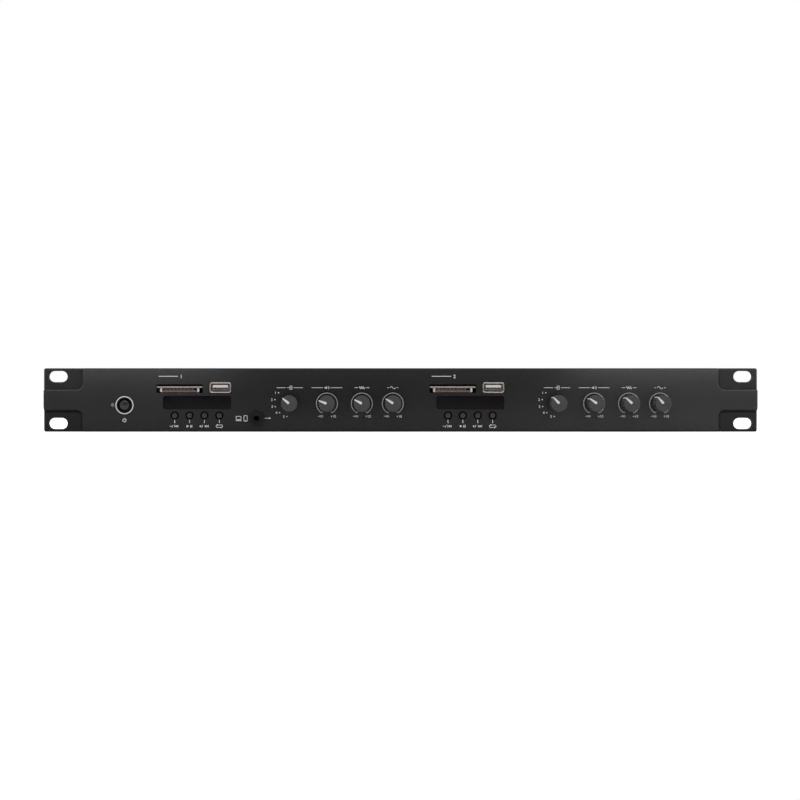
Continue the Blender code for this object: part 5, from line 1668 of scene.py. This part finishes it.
def build_xlr(node):
    """Male output socket: flange, a rim round the keyed cavity, three pins and two screws."""
    low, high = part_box(node)
    x, z = middle(node)
    mouth = high.y
    face = mouth - XLR_FACE_DROP
    back = mouth - XLR_FLANGE
    body = prism(rounded(high.x - low.x, high.z - low.z, XLR_CORNER, x, z), back, face)
    unite(body, turned([(XLR_SLEEVE / 2, low.y), (XLR_SLEEVE / 2, face - FIT), (XLR_RIM / 2, face - FIT),
                        (XLR_RIM / 2, mouth - FIT), (XLR_RIM / 2 - FIT, mouth)], x, z))
    end = mouth - XLR_CAVITY_DEPTH
    key = XLR_CAVITY / 2 + XLR_KEY_DEPTH / 2
    cut(body, round_hole(XLR_CAVITY, x, z, mouth, end, FIT))
    cut(body, block((x - XLR_KEY_WIDTH / 2, end, z - key), (x + XLR_KEY_WIDTH / 2, mouth + OVERRUN, z)))
    dress(body, f"{node}_housing", dark_nickel, "chassis", "bright_steel", node)
    paint(body, well_plastic, lambda face: face.center.y < mouth - XLR_FLANGE)
    soften(body, FIT)
    nose = end + XLR_PIN_LENGTH
    pins = []
    for angle in XLR_PIN_ANGLES:
        a = x + XLR_PIN_RADIUS * math.cos(math.radians(angle))
        b = z + XLR_PIN_RADIUS * math.sin(math.radians(angle))
        pins.append(turned([(XLR_PIN / 2, end - FIT), (XLR_PIN / 2, nose - XLR_PIN_NOSE),
                            (XLR_PIN * XLR_NOSE_SHARE, nose)], a, b, SMALL_SIDES))
    dress(gather(pins), f"{node}_pins", bright_steel, "chassis", "bright_steel")
    reach_x = (high.x - low.x) / 2 - XLR_SCREW_INSET
    reach_z = (high.z - low.z) / 2 - XLR_SCREW_INSET
    places = [(x + reach_x, face, z + reach_z), (x - reach_x, face, z - reach_z)]
    add_screws(f"{node}_screws", SMALL_SCREW_DIAMETER, SMALL_SCREW_HEIGHT, places, (0, 1, 0))


def build_inlet():
    """Mains inlet: flange, keyed cavity and three flat pins."""
    low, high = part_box("mains_inlet")
    x, z = middle("mains_inlet")
    mouth = high.y
    end = mouth - INLET_CAVITY_DEPTH
    body = prism(rounded(high.x - low.x, high.z - low.z, INLET_CORNER, x, z), mouth - INLET_FLANGE, mouth)
    unite(body, block((low.x + 2 * FIT, low.y, low.z + 2 * FIT),
                      (high.x - 2 * FIT, mouth - FIT, high.z - 2 * FIT)))
    right, top = INLET_CAVITY_WIDTH / 2, INLET_CAVITY_HEIGHT / 2
    inner_x, inner_z = right - INLET_CAVITY_CHAMFER, top - INLET_CAVITY_CHAMFER
    keyed = [(x + a, z + b) for a, b in ((right, inner_z), (inner_x, top), (-inner_x, top), (-right, inner_z),
                                         (-right, -top), (right, -top))]
    cut(body, prism(keyed, end, mouth + OVERRUN))
    dress(body, "mains_inlet_housing", black_nylon, "chassis", "black_plastic", "mains_inlet")
    soften(body, FIT)
    pins = []
    for side in (-1, 0, 1):
        pin = rounded(INLET_PIN_WIDTH, INLET_PIN_HEIGHT, INLET_PIN_EDGE, x + side * INLET_PIN_SPACING,
                      z + (1 - 2 * abs(side)) * INLET_PIN_RISE, TINY_CORNER_STEPS)
        pins.append(prism(pin, end - FIT, end + INLET_PIN_LENGTH))
    dress(gather(pins), "mains_inlet_pins", bright_steel, "chassis", "bright_steel")


def build_phono():
    """Block of four phono sockets: plated collars over coloured rings, each with its white core."""
    low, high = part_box("phono_block")
    x0, z0 = middle("phono_block")
    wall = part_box("chassis_tray")[1].y
    face = wall + PHONO_BLOCK_RISE
    body = prism(rounded(high.x - low.x, high.z - low.z, PHONO_BLOCK_CORNER, x0, z0), low.y, face)
    dress(body, "phono_block_housing", black_nylon, "chassis", "black_plastic", "phono_block")
    soften(body, FIT)
    collars, cores, rings = [], [], {1: [], -1: []}
    outer, bore, ring = PHONO_COLLAR / 2, PHONO_COLLAR_BORE / 2, PHONO_RING / 2
    root, ring_end, core_end = face - FIT, face + PHONO_RING_RISE, high.y - PHONO_CORE_DROP
    for side_x in SIDES:
        for side_z in SIDES:
            x, z = x0 + side_x * PHONO_PITCH / 2, z0 + side_z * PHONO_PITCH / 2
            collars.append(turned([(bore, root), (bore, high.y), (outer - PHONO_EDGE, high.y),
                                   (outer, high.y - PHONO_EDGE), (outer, root)], x, z))
            core = turned([(bore, root), (bore, core_end)], x, z)
            cut(core, prism(circle(PHONO_BORE / 2, x, z), high.y - PHONO_BORE_DEPTH, high.y + OVERRUN))
            cores.append(core)
            profile = [(ring, root), (ring, ring_end), (outer, ring_end), (outer, root)]
            rings[side_z].append(turned(profile, x, z))
    dress(gather(collars), "phono_collars", bright_steel, "chassis", "bright_steel")
    dress(gather(cores), "phono_cores", white_nylon, "chassis", "white_plastic")
    dress(gather(rings[1]), "phono_rings_left", white_nylon, "chassis", "white_plastic")
    dress(gather(rings[-1]), "phono_rings_right", red_nylon, "chassis", "black_plastic")


def build_rear():
    """Sockets and screws of the rear wall."""
    for number in PLAYERS:
        for side in ("left", "right"):
            build_xlr(f"xlr_{side}_{number}")
    build_inlet()
    build_phono()
    add_case_screws()


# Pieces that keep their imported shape


def give(node, finish):
    """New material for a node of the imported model."""
    piece = frame["nodes"][node]
    piece.data.materials.clear()
    piece.data.materials.append(finish)
    return piece


def finish_nodes():
    """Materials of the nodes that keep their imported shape."""
    for name in ("chassis_tray", "top_cover"):
        even_shading(give(name, painted_steel()))
    for number in PLAYERS:
        soften(give(f"display_window_{number}", smoked_acrylic()), WINDOW_EDGE)
        soften(give(f"usb_tongue_{number}", white_nylon()), TONGUE_EDGE)
        for board in (f"player_board_{number}", f"control_board_{number}"):
            give(board, board_finish(board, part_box(board)[1].z + FIT, COMPONENT_BLACK))
        for name in KNOBS:
            give(f"{name}_shaft_{number}", bright_steel())
            kind = "switch" if name == "input_select" else "pot"
            soften(give(f"{name}_{kind}_{number}", bright_steel()), CONTROL_EDGE)
    give("power_switch", black_nylon())
    for name in ("main_board", "power_supply"):
        give(name, board_finish(name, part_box(name)[0].z + BOARD_TOP, COMPONENT_GREY))


add_camera(FACE_Y, MIDDLE_Z)
add_world()
lit_by_cards = light_scene(Vector((MIDDLE_X, FACE_Y, MIDDLE_Z)))
add_floor(cad_low.z)
build_panel()
build_players()
build_power()
build_jack()
for number in PLAYERS:
    for name, angle in zip(KNOBS, REST_ANGLES[number]):
        build_knob(name, number, angle)
    print_player(number)
    print_controls(number)
print_power()
print_aux()
build_rear()
finish_nodes()
bpy.context.scene.view_settings.view_transform = "Standard"
